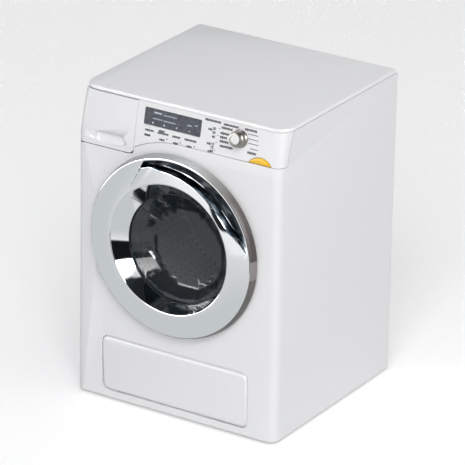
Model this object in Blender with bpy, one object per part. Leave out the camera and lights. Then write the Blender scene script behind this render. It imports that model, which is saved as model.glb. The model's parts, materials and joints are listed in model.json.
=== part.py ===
"""Toy washing machine with a bright ring door, as separate sub-parts that fit and move.

Metres, +Z up, the front faces -Y. The origin is under the middle of the machine, on the surface it stands on.
Heights marked _Z are above that surface. Depths of the door are measured forward of the front panel.
"""

import math

import bmesh
import bpy
from mathutils import Matrix, Vector

# Overall sizes
WIDTH = 0.185
DEPTH = 0.185
HEIGHT = 0.260
WALL = 0.0022
GAP = 0.0004
SEAT = 0.0003
OVERRUN = 0.0020
OVERLAP = 0.0006
HALF_W = WIDTH / 2

# Front and rear planes, plan shape and lean of the front
DOOR_PROUD = 0.0115
REAR_RECESS = 0.0106
FRONT_Y = -DEPTH / 2 + DOOR_PROUD
REAR_Y = DEPTH / 2
PANEL_REAR_Y = REAR_Y - REAR_RECESS
CORNER_R = 0.0070
TOP_CORNER_GROWTH = 0.0040
LEAN_ANGLE = math.radians(12.0)
LEAN_BLEND = 0.0100
WRAP_MARGIN = 0.0008

# Lid, and the seams of the control fascia and the dispenser flap
WORKTOP_T = 0.0032
WORKTOP_RIM = 0.0050
WORKTOP_EDGE_R = 0.0022
WORKTOP_CORNER_R = 0.0130
WORKTOP_LOW_Z = HEIGHT - WORKTOP_T
FASCIA_TOP_Z = WORKTOP_LOW_Z - GAP
FASCIA_TALL = 0.0260
FASCIA_BOTTOM_Z = FASCIA_TOP_Z - FASCIA_TALL
FLAP_TALL = 0.0420
FLAP_W = 0.0523
FLAP_BOTTOM_Z = FASCIA_TOP_Z - FLAP_TALL
FLAP_RIGHT_X = -HALF_W + FLAP_W
FLAP_CORNER_R = 0.0050
FLAP_TOP_DROP = 0.0005
LEAN_ABOVE_FLAP_BOTTOM = 0.0036
LEAN_START_Z = FLAP_BOTTOM_Z + LEAN_ABOVE_FLAP_BOTTOM

# Door ring, from its mirror cone outwards
RING_WALL = 0.0015
BEZEL_END_R = 0.0452
BEZEL_W = 0.0087
BEZEL_R = BEZEL_END_R + BEZEL_W
BEZEL_LIP = 0.0007
BEZEL_END_DEPTH = -0.0010
RING_BAND_W = 0.0180
RING_CREST_R = BEZEL_R + RING_BAND_W
RING_RIM_W = 0.0011
RING_RIM_R = RING_CREST_R + RING_RIM_W
RING_TAPER = 0.0008
RING_REAR_R = RING_RIM_R + RING_TAPER
RING_SKIRT = 0.0015
RING_R = RING_REAR_R + RING_SKIRT
RING_DOME = 0.0027
RING_RIM_DEPTH = DOOR_PROUD - RING_DOME
RING_REAR_DEPTH = 0.0004

# Door back frame, window, gasket and the opening behind them
FRAME_PLATE_T = 0.0010
BEZEL_ROOM = 0.0033
FRAME_INNER_R = BEZEL_END_R + RING_WALL + BEZEL_ROOM
WINDOW_FLANGE_R = FRAME_INNER_R
WINDOW_BEHIND_BEZEL = 0.0006
WINDOW_R = BEZEL_END_R - WINDOW_BEHIND_BEZEL
WINDOW_T = 0.0016
WINDOW_DEPTH = 0.0180
WINDOW_TAPER = 0.0136
WINDOW_END_R = WINDOW_R - WINDOW_TAPER
WINDOW_END_SAG = 0.0050
WINDOW_DOME = 0.0016
GASKET_T = 0.0012
FRAME_LIP_ROOM = 0.0020
FRAME_LIP_R = WINDOW_R + FRAME_LIP_ROOM
FRAME_FLANGE_ROOM = 0.0052
FRAME_SPIGOT_T = 0.0018
FRAME_SPIGOT_R = WINDOW_FLANGE_R + FRAME_FLANGE_ROOM + FRAME_SPIGOT_T
FRAME_SPIGOT_DEPTH = 0.0066
SPIGOT_ROOM = 0.0020
DOOR_OPENING_R = FRAME_SPIGOT_R + SPIGOT_ROOM

# Finger grip in the door ring
GRIP_BAND_DROP = 0.0012
GRIP_ROOM = 0.0012
GRIP_DEPTH = DOOR_PROUD - RING_REAR_DEPTH - FRAME_PLATE_T - RING_WALL - GRIP_BAND_DROP - GRIP_ROOM
GRIP_RIM_W = 0.0005
GRIP_RIM_INNER_R = RING_CREST_R - GRIP_RIM_W
GRIP_END_BACK = 0.0032
GRIP_END_OFFSET = BEZEL_R - GRIP_END_BACK
GRIP_END_NORMAL = math.radians(155.0)
GRIP_END_STEP = 0.0004
GRIP_POINT_ANGLE = math.radians(10.0)

# Place of the door under the fascia's arc
FASCIA_ABOVE_RING = 0.0076
FASCIA_ARC_R = RING_R + FASCIA_ABOVE_RING
DOOR_Z = FASCIA_BOTTOM_Z - FASCIA_ARC_R

# Hinge and latch
HINGE_IN_RING = 0.0030
HINGE_X = HINGE_IN_RING - RING_R
HINGE_AHEAD = 0.0050
HINGE_PIN_R = 0.0011
PIVOT_CLEARANCE = 0.0001
HINGE_BORE_R = HINGE_PIN_R + PIVOT_CLEARANCE
HINGE_LUG_R = 0.0020
HINGE_LUG_H = 0.0120
HINGE_EAR_H = 0.0060
HINGE_EAR_T = 0.0018
LATCH_BESIDE_OPENING = 0.0074
LATCH_X = DOOR_OPENING_R + LATCH_BESIDE_OPENING
LATCH_W = 0.0018
LATCH_H = 0.0090
LATCH_REACH = 0.0052
LATCH_HOOK = 0.0010
LATCH_SLOT_GAP = 0.0009
CATCH_ARM_T = 0.0014
CATCH_BASE_T = 0.0016

# Tub and seal
TUB_SETBACK = 0.0204
TUB_FRONT_Y = FRONT_Y + TUB_SETBACK
DRIVE_ROOM = 0.0519
TUB_REAR_Y = PANEL_REAR_Y - DRIVE_ROOM
TUB_MOUTH_INSET = 0.0020
TUB_MOUTH_R = DOOR_OPENING_R - TUB_MOUTH_INSET
TUB_FACE_W = 0.0120
TUB_R = TUB_MOUTH_R + TUB_FACE_W
TUB_EAR_R = 0.0052
TUB_EAR_BEYOND = 0.0062
TUB_EAR_CIRCLE_R = TUB_R + TUB_EAR_BEYOND
TUB_BOSS_R = 0.0038
SUMP_AHEAD_OF_REAR = 0.0220
SUMP_Y = TUB_REAR_Y - SUMP_AHEAD_OF_REAR
SUMP_R = 0.0030
SUMP_WALL = 0.0013
SUMP_DROP = 0.0090
SEAL_T = 0.0014
SEAL_FOLD = 0.0030

# Drum
DRUM_CLEARANCE = 0.0023
DRUM_R = TUB_R - WALL - DRUM_CLEARANCE
DRUM_T = 0.0016
DRUM_MOUTH_INSET = 0.0025
DRUM_MOUTH_R = TUB_MOUTH_R - DRUM_MOUTH_INSET
DRUM_BEHIND_FRONT = 0.0026
DRUM_FRONT_Y = TUB_FRONT_Y + DRUM_BEHIND_FRONT
DRUM_AHEAD_OF_REAR = 0.0080
DRUM_REAR_Y = TUB_REAR_Y - DRUM_AHEAD_OF_REAR
DRUM_EDGE_R = 0.0030
PADDLE_H = 0.0115
PADDLE_W = 0.0150
PADDLE_CREST_SHARE = 0.22
DRUM_HOLE_R = 0.0016
DRUM_HOLE_ROWS = 3
DRUM_BOSS_R = 0.0060
DRUM_BOSS_L = 0.0060
DRUM_REAR_HOLE_CIRCLE_R = 0.0380

# Drive train
SHAFT_R = 0.0020
SHAFT_CLEARANCE = 0.00008
SHAFT_INTO_DRUM = 0.0090
SHAFT_FRONT_Y = DRUM_REAR_Y - SHAFT_INTO_DRUM
BUSH_R = 0.0040
BUSH_FLANGE_W = 0.0016
BUSH_FLANGE_R = BUSH_R + BUSH_FLANGE_W
BUSH_FLANGE_T = 0.0010
BUSH_BORE_R = SHAFT_R + SHAFT_CLEARANCE
TUB_HUB_WALL = 0.0030
TUB_HUB_R = BUSH_R + TUB_HUB_WALL
TUB_HUB_L = 0.0060
GEAR_MODULE = 0.0015
DRUM_GEAR_TEETH = 32
DRUM_PINION_TEETH = 8
DRUM_GEAR_BEHIND_HUB = 0.0018
DRUM_GEAR_Y = TUB_REAR_Y + WALL + TUB_HUB_L + DRUM_GEAR_BEHIND_HUB
DRUM_GEAR_T = 0.0050
FINE_MODULE = 0.0010
IDLER_TEETH = 32
MOTOR_PINION_TEETH = 8
FINE_GEAR_T = 0.0040
FINE_GEAR_BEHIND = 0.0014
FINE_GEAR_Y = DRUM_GEAR_Y + DRUM_GEAR_T + FINE_GEAR_BEHIND
GEAR_BACKLASH_SHARE = 0.09
GEAR_ADDENDUM_SHARE = 0.90
GEAR_DEDENDUM_SHARE = 1.25
GEAR_EXTRA_CENTRE = 0.00015
IDLER_ANGLE = math.radians(-60.0)
MOTOR_ANGLE = math.radians(-90.0)
IDLER_PIN_R = 0.0015
IDLER_BORE_R = IDLER_PIN_R + SHAFT_CLEARANCE
GEAR_HUB_R = 0.0050
PLATE_BEHIND_GEARS = 0.0038
PLATE_Y = FINE_GEAR_Y + FINE_GEAR_T + PLATE_BEHIND_GEARS
PLATE_T = 0.0022
PLATE_W = 0.0700
PLATE_POST_R = 0.0042
PLATE_TOP_MARGIN = 0.0120
PLATE_BOTTOM_MARGIN = 0.0160
SHAFT_BEHIND_PLATE = 0.0026
SHAFT_REAR_Y = PLATE_Y + PLATE_T + SHAFT_BEHIND_PLATE
MOTOR_R = 0.0120
MOTOR_CLEARANCE = 0.0006
MOTOR_L = PANEL_REAR_Y - WALL - MOTOR_CLEARANCE - (PLATE_Y + PLATE_T + SEAT)
MOTOR_FLAT_SHARE = 0.80
MOTOR_BOSS_R = 0.0030
MOTOR_BOSS_L = 0.0014
MOTOR_SHAFT_R = 0.0010

# Control parts
CONTROLS_DROP = 0.0101
DISPLAY_FROM_FLAP = 0.0072
DISPLAY_W = 0.0510
DISPLAY_H = 0.0130
DISPLAY_T = 0.0014
DISPLAY_LEDGE = 0.0012
DISPLAY_X = FLAP_RIGHT_X + DISPLAY_FROM_FLAP + DISPLAY_W / 2
DISPLAY_Z = FASCIA_TOP_Z - CONTROLS_DROP
DIAL_FROM_SIDE = 0.0389
DIAL_X = HALF_W - DIAL_FROM_SIDE
DIAL_Z = DISPLAY_Z
DIAL_HEAD_R = 0.0064
DIAL_RIM_W = 0.0009
DIAL_CAP_R = DIAL_HEAD_R - DIAL_RIM_W
DIAL_WAIST_STEP = 0.0002
DIAL_WAIST_R = DIAL_HEAD_R + DIAL_WAIST_STEP
DIAL_SKIRT_W = 0.0010
DIAL_SKIRT_R = DIAL_WAIST_R + DIAL_SKIRT_W
DIAL_H = 0.0078
DIAL_CAP_T = 0.0012
DIAL_STEM_R = 0.0022
DIAL_STEM_L = 0.0070
BUTTON_FROM_SIDE = 0.0190
BUTTON_X = HALF_W - BUTTON_FROM_SIDE
BUTTON_HALF_W = 0.0098
BUTTON_H = 0.0048
BUTTON_PROUD = 0.0010
BUTTON_BODY = 0.0030
BUTTON_TRAVEL = 0.0015
BOARD_T = 0.0016
BOARD_SET = 0.0100
BOARD_FROM_FLAP = 0.0062
BOARD_FROM_SIDE = 0.0065
BOARD_LEFT_X = FLAP_RIGHT_X + BOARD_FROM_FLAP
BOARD_RIGHT_X = HALF_W - BOARD_FROM_SIDE
BOARD_LOW_SHARE = 0.18
BOARD_HIGH_SHARE = 0.86
SWITCH_W = 0.0110
SWITCH_H = 0.0045
START_SWITCH_W = 0.0060

# Dispenser flap and water hopper
FLAP_AXIS_BEHIND = 0.0034
FLAP_AXIS_RISE = 0.0018
FLAP_AXIS_Z = FLAP_BOTTOM_Z + FLAP_AXIS_RISE
FLAP_RANGE = math.radians(30.0)
FLAP_SWEEP_STEPS = 4
FLAP_BARREL_R = 0.0016
FLAP_STUB_R = 0.0009
FLAP_STUB_L = 0.0020
FLAP_EAR_HALF = 0.0020
FLAP_EAR_T = 0.0024
FLAP_EAR_BORE_R = FLAP_STUB_R + PIVOT_CLEARANCE
FLAP_BARREL_FROM_SIDE = 0.0125
FLAP_BARREL_FROM_SEAM = 0.0063
FLAP_BARREL_LEFT_X = -HALF_W + FLAP_BARREL_FROM_SIDE
FLAP_BARREL_RIGHT_X = FLAP_RIGHT_X - FLAP_BARREL_FROM_SEAM
FLAP_CHEEK_T = 0.0016
FLAP_CHEEK_DROP = 0.0075
FLAP_CHEEK_R = FLAP_TALL - FLAP_CHEEK_DROP
FLAP_CHEEK_HIGH = math.radians(80.0)
FLAP_CHEEK_LOW = math.radians(45.0)
GRIP_POCKET_FROM_SIDE = 0.0170
GRIP_POCKET_FROM_SEAM = 0.0083
GRIP_POCKET_RISE = 0.0028
GRIP_POCKET_TALL = 0.0090
GRIP_POCKET_LEFT_X = -HALF_W + GRIP_POCKET_FROM_SIDE
GRIP_POCKET_RIGHT_X = FLAP_RIGHT_X - GRIP_POCKET_FROM_SEAM
GRIP_POCKET_LOW_Z = FLAP_BOTTOM_Z + GRIP_POCKET_RISE
GRIP_POCKET_HIGH_Z = GRIP_POCKET_LOW_Z + GRIP_POCKET_TALL
GRIP_POCKET_DEPTH = 0.0036
GRIP_POCKET_WALL = 0.0012
HOPPER_FRONT = 0.0105
HOPPER_DEPTH = 0.0340
HOPPER_FROM_SEAM = 0.0034
HOPPER_RIGHT_X = FLAP_RIGHT_X - HOPPER_FROM_SEAM
HOPPER_BELOW_FLAP = 0.0019
HOPPER_LOW_Z = FLAP_BOTTOM_Z - HOPPER_BELOW_FLAP
HOPPER_BELOW_TOP = 0.0094
HOPPER_HIGH_Z = FASCIA_TOP_Z - HOPPER_BELOW_TOP
HOPPER_LIP_RISE = 0.0186
HOPPER_LIP_Z = FLAP_BOTTOM_Z + HOPPER_LIP_RISE
HOPPER_T = 0.0016

# Spout of the hopper and the tub's inlet collar that it drops into
SPOUT_R = 0.0040
SPOUT_WALL = 0.0013
SPOUT_BORE_R = SPOUT_R - SPOUT_WALL
SPOUT_SHOWN = 0.0074
INLET_R = SPOUT_R + GAP
INLET_WALL = 0.0016
INLET_FROM_HOPPER_SIDE = 0.0064
INLET_BEHIND_FRONT = 0.0106
INLET_X = HOPPER_RIGHT_X - INLET_FROM_HOPPER_SIDE
INLET_Y = TUB_FRONT_Y + INLET_BEHIND_FRONT
INLET_TOP_Z = HOPPER_LOW_Z - SPOUT_SHOWN

# Kick panel, base, feet
KICK_FROM_SIDE = 0.0250
KICK_HALF_W = HALF_W - KICK_FROM_SIDE
KICK_LOW_Z = 0.0088
KICK_BELOW_DOOR = 0.0170
KICK_HIGH_Z = DOOR_Z - RING_R - KICK_BELOW_DOOR
KICK_CORNER_R = 0.0055
KICK_EDGE_R = 0.0012
KICK_LEAN = 0.0012
KICK_TAB_H = 0.0060
BASE_Z = 0.0030
BASE_T = 0.0022
BASE_RIM_H = 0.0060
FOOT_R = 0.0070
FOOT_TIP_R = 0.0060
FOOT_STEM_R = 0.0024
FOOT_INSET = 0.0160

# Rear panel, screws, speaker grille
REAR_BELOW_TOP = 0.0064
REAR_TOP_Z = FASCIA_TOP_Z - REAR_BELOW_TOP
POST_R = 0.0040
POST_L = 0.0150
POST_INSET = 0.0036
SCREW_SHANK_R = 0.0011
PILOT_R = SCREW_SHANK_R + PIVOT_CLEARANCE
SCREW_CLEARANCE = 0.0006
SCREW_HOLE_R = SCREW_SHANK_R + SCREW_CLEARANCE
SCREW_HEAD_R = 0.0028
SCREW_HEAD_T = 0.0014
SCREW_L = 0.0090
TUB_SCREW_L = 0.0100
SPEAKER_FROM_SIDE = 0.0445
SPEAKER_BELOW_POSTS = 0.0320
SPEAKER_X = -HALF_W + SPEAKER_FROM_SIDE
SPEAKER_Z = REAR_TOP_Z - SPEAKER_BELOW_POSTS
SPEAKER_R = 0.0160
SPEAKER_T = 0.0060
SPEAKER_MAGNET_R = 0.0085
SPEAKER_MAGNET_T = 0.0040
SPEAKER_RING_T = 0.0014
GRILLE_SLOTS = 5
GRILLE_SLOT_H = 0.0018
GRILLE_PITCH = 0.0045

# Battery box
BATTERY_R = 0.0072
BATTERY_L = 0.0492
BATTERY_NUB_R = 0.0027
BATTERY_NUB_L = 0.0013
BATTERY_COUNT = 3
BATTERY_SPACING = 0.0008
BATTERY_PITCH = 2 * BATTERY_R + BATTERY_SPACING
BATTERY_CLEAR = 0.0005
BATTERY_BOX_FROM_SIDE = 0.0445
BATTERY_BOX_X = -HALF_W + BATTERY_BOX_FROM_SIDE
BATTERY_BOX_LOW_Z = 0.0140
BATTERY_BOX_T = 0.0016
CONTACT_T = 0.0005
CONTACT_ROOM = 0.0024
COVER_T = 0.0020
COVER_LEDGE = 0.0030
COVER_SCREW_L = 0.0080
COVER_EAR_R = 0.0042

# Drain
DRAIN_FROM_SIDE = 0.0475
DRAIN_X = HALF_W - DRAIN_FROM_SIDE
DRAIN_Z = 0.0300
DRAIN_R = 0.0035
DRAIN_WALL = 0.0014
DRAIN_BORE_R = DRAIN_R - DRAIN_WALL
DRAIN_L = 0.0780
SPIGOT_R = 0.0030
SPIGOT_WALL = 0.0012
SPIGOT_BORE_R = SPIGOT_R - SPIGOT_WALL
SPIGOT_FLANGE_R = 0.0058
SPIGOT_FLANGE_T = 0.0012
SPIGOT_INNER_L = 0.0090
DRAIN_HEAD_CLEARANCE = 0.0002
DRAIN_HEAD_BORE_R = SPIGOT_R + DRAIN_HEAD_CLEARANCE
DRAIN_HEAD_WALL = 0.0030
DRAIN_HEAD_R = DRAIN_HEAD_BORE_R + DRAIN_HEAD_WALL
DRAIN_TILT = math.radians(11.0)
HOSE_R = 0.0026
HOSE_DROP_SHARE = 0.42
HOSE_REACH_SHARE = 0.62
HOSE_POINTS = 16
CLIP_ALONG = 0.0560
CLIP_W = 0.0060
CLIP_T = 0.0014

# Fineness of the round parts
STEPS_LARGE = 28
STEPS_INNER = 22
STEPS_MEDIUM = 16
STEPS_SMALL = 12
STEPS_TINY = 8
STEPS_HOLE = 6
LEAN_STEPS = 3
CORNER_STEPS = 4
SEAM_STEPS = 5
GRIP_COLUMNS = 17
BAND_COLUMNS = 22

# Directions and points that follow from the sizes above
HINGE_Y = FRONT_Y - HINGE_AHEAD
FLAP_AXIS_Y = FRONT_Y + FLAP_AXIS_BEHIND
PANEL_NORMAL = Vector((0.0, -math.cos(LEAN_ANGLE), math.sin(LEAN_ANGLE)))
PANEL_UP = Vector((0.0, math.sin(LEAN_ANGLE), math.cos(LEAN_ANGLE)))
X_AXIS = Vector((1.0, 0.0, 0.0))
Y_AXIS = Vector((0.0, 1.0, 0.0))
Z_AXIS = Vector((0.0, 0.0, 1.0))
DOOR_CENTRE = Vector((0.0, FRONT_Y, DOOR_Z))


def clear_scene():
    for item in list(bpy.data.objects):
        bpy.data.objects.remove(item, do_unlink=True)


def material(name, colour, roughness, metallic=0.0, alpha=1.0):
    """One plain finish; made once and shared."""
    found = bpy.data.materials.get(name)
    if found:
        return found
    made = bpy.data.materials.new(name)
    made.use_nodes = True
    shader = made.node_tree.nodes["Principled BSDF"]
    shader.inputs["Base Color"].default_value = (*colour, 1.0)
    shader.inputs["Roughness"].default_value = roughness
    shader.inputs["Metallic"].default_value = metallic
    shader.inputs["Alpha"].default_value = alpha
    return made


def white_plastic():
    return material("white_plastic", (0.82, 0.82, 0.83), 0.28)


def grey_plastic():
    return material("grey_plastic", (0.36, 0.37, 0.39), 0.45)


def dark_plastic():
    return material("dark_plastic", (0.07, 0.075, 0.085), 0.40)


def pale_grey_plastic():
    return material("pale_grey_plastic", (0.62, 0.63, 0.64), 0.40)


def bright_plating():
    return material("bright_plating", (0.86, 0.87, 0.88), 0.06, 1.0)


def steel():
    return material("steel", (0.62, 0.62, 0.64), 0.30, 1.0)


def brass():
    return material("brass", (0.72, 0.56, 0.28), 0.35, 1.0)


def black_rubber():
    return material("black_rubber", (0.03, 0.03, 0.032), 0.75)


def smoke_window():
    return material("smoke_window", (0.10, 0.10, 0.11), 0.05, 0.0, 0.45)


def yellow_plastic():
    return material("yellow_plastic", (0.90, 0.60, 0.05), 0.30)


def green_board():
    return material("green_board", (0.05, 0.22, 0.10), 0.50)


def make_object(name, verts, faces, finish):
    """A mesh object with outward faces, smooth where it is round."""
    mesh = bpy.data.meshes.new(name)
    mesh.from_pydata([tuple(v) for v in verts], [], faces)
    shape = bmesh.new()
    shape.from_mesh(mesh)
    bmesh.ops.recalc_face_normals(shape, faces=shape.faces[:])
    if shape.calc_volume(signed=True) < 0.0:
        bmesh.ops.reverse_faces(shape, faces=shape.faces[:])
    shape.to_mesh(mesh)
    shape.free()
    mesh.materials.append(finish)
    made = bpy.data.objects.new(name, mesh)
    bpy.context.scene.collection.objects.link(made)
    return made


def shade(item, angle=math.radians(35.0)):
    item.data.shade_smooth()
    item.data.set_sharp_from_angle(angle=angle)
    return item


def combine(target, tool, operation):
    """Applies one exact Boolean and takes the tool away."""
    change = target.modifiers.new("combine", "BOOLEAN")
    change.operation = operation
    change.solver = "EXACT"
    change.object = tool
    bpy.context.view_layer.objects.active = target
    bpy.context.view_layer.update()
    with bpy.context.temp_override(object=target, active_object=target, selected_objects=[target]):
        bpy.ops.object.modifier_apply(modifier=change.name)
    bpy.data.objects.remove(tool, do_unlink=True)
    return target


def cut(target, *tools):
    for tool in tools:
        combine(target, tool, "DIFFERENCE")
    return target


def join(target, *tools):
    for tool in tools:
        combine(target, tool, "UNION")
    return target


def skin(name, rows, finish, wrap, caps=True):
    """Joins rows of points, each row a closed loop, into a solid; wrap joins the last row to the first."""
    count = len(rows[0])
    verts = [point for row in rows for point in row]
    faces = []
    last = len(rows) if wrap else len(rows) - 1
    for i in range(last):
        low = i * count
        high = ((i + 1) % len(rows)) * count
        for j in range(count):
            k = (j + 1) % count
            faces.append((low + j, low + k, high + k, high + j))
    if caps and not wrap:
        faces.append(tuple(range(count)))
        faces.append(tuple(range(len(verts) - count, len(verts))))
    return make_object(name, verts, faces, finish)


def across(direction):
    """Two unit vectors square to a direction, the first as level as it can be."""
    direction = direction.normalized()
    if abs(direction.dot(X_AXIS)) < 0.9:
        first = (X_AXIS - direction * direction.dot(X_AXIS)).normalized()
    else:
        first = (Y_AXIS - direction * direction.dot(Y_AXIS)).normalized()
    return first, direction.cross(first)


def turned(name, profile, origin, direction, steps, finish, hollow=False):
    """Turns a profile of (radius, along) about an axis; a hollow profile is a closed loop clear of the axis."""
    first, second = across(direction)
    axis = direction.normalized()
    turns = [2 * math.pi * i / steps for i in range(steps)]

    def place(radius, along, angle):
        return origin + first * (radius * math.cos(angle)) + second * (radius * math.sin(angle)) + axis * along

    if hollow:
        rows = [[place(r, s, angle) for r, s in profile] for angle in turns]
        return skin(name, rows, finish, wrap=True)
    rows = [[place(r, s, angle) for angle in turns] for r, s in profile]
    return skin(name, rows, finish, wrap=False)


def rod(name, radius, start, end, steps, finish):
    direction = end - start
    profile = [(radius, 0.0), (radius, direction.length)]
    return turned(name, profile, start, direction, steps, finish)


def prism(name, outline, origin, right, up, out, finish):
    """Sweeps a flat outline of (right, up) points along the out vector."""
    near = [origin + right * a + up * b for a, b in outline]
    far = [point + out for point in near]
    return skin(name, [near, far], finish, wrap=False)


def block(name, low, high, finish):
    size = Vector(high) - Vector(low)
    outline = [(0.0, 0.0), (size.x, 0.0), (size.x, size.y), (0.0, size.y)]
    return prism(name, outline, Vector(low), X_AXIS, Y_AXIS, Z_AXIS * size.z, finish)


def rounded_rectangle(half_w, half_h, radius, steps=CORNER_STEPS, low_radius=None):
    """A rectangle with rounded corners; the two at the lower side may have a radius of their own."""
    points = []
    top_radius = radius
    corners = [(1, 1, 0.0), (-1, 1, 0.5), (-1, -1, 1.0), (1, -1, 1.5)]
    for side_x, side_y, start in corners:
        radius = low_radius if low_radius and side_y < 0 else top_radius
        for i in range(steps + 1):
            angle = math.pi * (start + 0.5 * i / steps)
            x = side_x * (half_w - radius) + radius * math.cos(angle)
            y = side_y * (half_h - radius) + radius * math.sin(angle)
            points.append((x, y))
    return points


def bevel_edges(item, width, segments, chosen):
    """Rounds the edges whose two ends both satisfy the test."""
    shape = bmesh.new()
    shape.from_mesh(item.data)
    edges = [e for e in shape.edges if chosen(e.verts[0].co) and chosen(e.verts[1].co)]
    bmesh.ops.bevel(shape, geom=edges, offset=width, segments=segments, profile=0.5, affect="EDGES")
    shape.to_mesh(item.data)
    shape.free()
    return item


def lean_at(z):
    """How far the front surface stands back at a height."""
    rise = z - LEAN_START_Z
    if rise <= 0.0:
        return 0.0
    slope = math.tan(LEAN_ANGLE)
    if rise < LEAN_BLEND:
        return slope * rise * rise / (2 * LEAN_BLEND)
    return slope * (rise - LEAN_BLEND / 2)


def surface_y(z):
    return FRONT_Y + lean_at(z)


def corner_radius_at(z):
    climb = (z - FLAP_BOTTOM_Z) / (FASCIA_TOP_Z - FLAP_BOTTOM_Z)
    return CORNER_R + TOP_CORNER_GROWTH * min(max(climb, 0.0), 1.0) ** 2


def wrap_y(z):
    """Depth of the seam on the side walls, just behind the rounded corner."""
    return surface_y(z) + corner_radius_at(z) + WRAP_MARGIN


def station_point(station, z, inset):
    """A point of the wrapped front at a height; stations run left side, corner, front, corner, right side."""
    kind, side, value = station
    front = surface_y(z)
    radius = corner_radius_at(z)
    if kind == "wrap":
        return Vector((side * (HALF_W - inset), wrap_y(z) - value, z))
    if kind == "front":
        return Vector((value, front + inset, z))
    if kind == "side":
        return Vector((side * (HALF_W - inset), value, z))
    angle = value * math.pi / 2
    centre_x = side * (HALF_W - radius)
    reach = radius - inset
    x = centre_x + side * reach * math.cos(angle)
    y = front + radius - reach * math.sin(angle)
    return Vector((x, y, z))


def wall_strip(name, stations, heights, finish):
    """A curved wall of even thickness; heights gives one list of Z per row, one value per station."""
    rows = []
    for row in heights:
        outer = [station_point(s, z, 0.0) for s, z in zip(stations, row)]
        inner = [station_point(s, z, WALL) for s, z in zip(stations, row)]
        rows.append((outer, inner))
    count = len(stations)
    verts = []
    for outer, inner in rows:
        verts.extend(outer)
        verts.extend(inner)
    faces = []
    for i in range(len(rows) - 1):
        low = i * 2 * count
        high = low + 2 * count
        for j in range(count - 1):
            faces.append((low + j, low + j + 1, high + j + 1, high + j))
            faces.append((low + count + j + 1, low + count + j, high + count + j, high + count + j + 1))
        for j in (0, count - 1):
            faces.append((low + j, low + count + j, high + count + j, high + j))
    for base in (0, (len(rows) - 1) * 2 * count):
        for j in range(count - 1):
            faces.append((base + j, base + j + 1, base + count + j + 1, base + count + j))
    return make_object(name, verts, faces, finish)


def corner_stations(side, from_side):
    """Stations round one front corner; value 0 is on the side wall and 1 on the front."""
    values = [i / CORNER_STEPS for i in range(CORNER_STEPS + 1)]
    if not from_side:
        values.reverse()
    return [("corner", side, value) for value in values]


def seam_outline(clearance):
    """The lower edge of flap and fascia from left to right, as (x, z), moved down by a clearance."""
    points = [(-HALF_W - OVERRUN, FLAP_BOTTOM_Z - clearance)]
    centre_x = FLAP_RIGHT_X - FLAP_CORNER_R
    centre_z = FLAP_BOTTOM_Z + FLAP_CORNER_R
    radius = FLAP_CORNER_R + clearance
    for i in range(CORNER_STEPS + 1):
        angle = math.pi / 2 * i / CORNER_STEPS
        points.append((centre_x + radius * math.sin(angle), centre_z - radius * math.cos(angle)))
    start_x = FLAP_RIGHT_X + clearance
    arc_r = FASCIA_ARC_R - clearance
    start = math.atan2(math.sqrt(arc_r ** 2 - start_x ** 2), start_x)
    for i in range(SEAM_STEPS + 1):
        angle = start + (math.pi / 2 - start) * i / SEAM_STEPS
        points.append((arc_r * math.cos(angle), DOOR_Z + arc_r * math.sin(angle)))
    points.append((HALF_W + OVERRUN, DOOR_Z + arc_r))
    return points


def button_outline(clearance):
    """The start button: a lens half with a flat lower edge, as (right, up) about its lower middle."""
    half_w = BUTTON_HALF_W + 2 * clearance
    height = BUTTON_H + 2 * clearance
    radius = (half_w ** 2 + height ** 2) / (2 * height)
    sweep = math.asin(half_w / radius)
    points = []
    for i in range(STEPS_TINY + 1):
        angle = sweep * (1 - 2 * i / STEPS_TINY)
        points.append((radius * math.sin(angle), height - radius * (1 - math.cos(angle))))
    return points


def panel_point(x, z):
    """A point on the leaning control surface at a height."""
    return Vector((x, surface_y(z), z))


def cabinet_posts():
    """Places of the four posts that the rear panel is screwed to."""
    x = HALF_W - WALL - POST_INSET
    low = BASE_Z + BASE_T + BASE_RIM_H + POST_R + GAP
    high = REAR_TOP_Z - POST_INSET
    return [(-x, low), (x, low), (-x, high), (x, high)]


def tub_ear_places():
    """Three fixing places round the tub, as points on the door axis plane."""
    places = []
    for turn in (150.0, 30.0, 270.0):
        angle = math.radians(turn)
        x = TUB_EAR_CIRCLE_R * math.cos(angle)
        z = DOOR_Z + TUB_EAR_CIRCLE_R * math.sin(angle)
        places.append((x, z))
    return places


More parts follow.
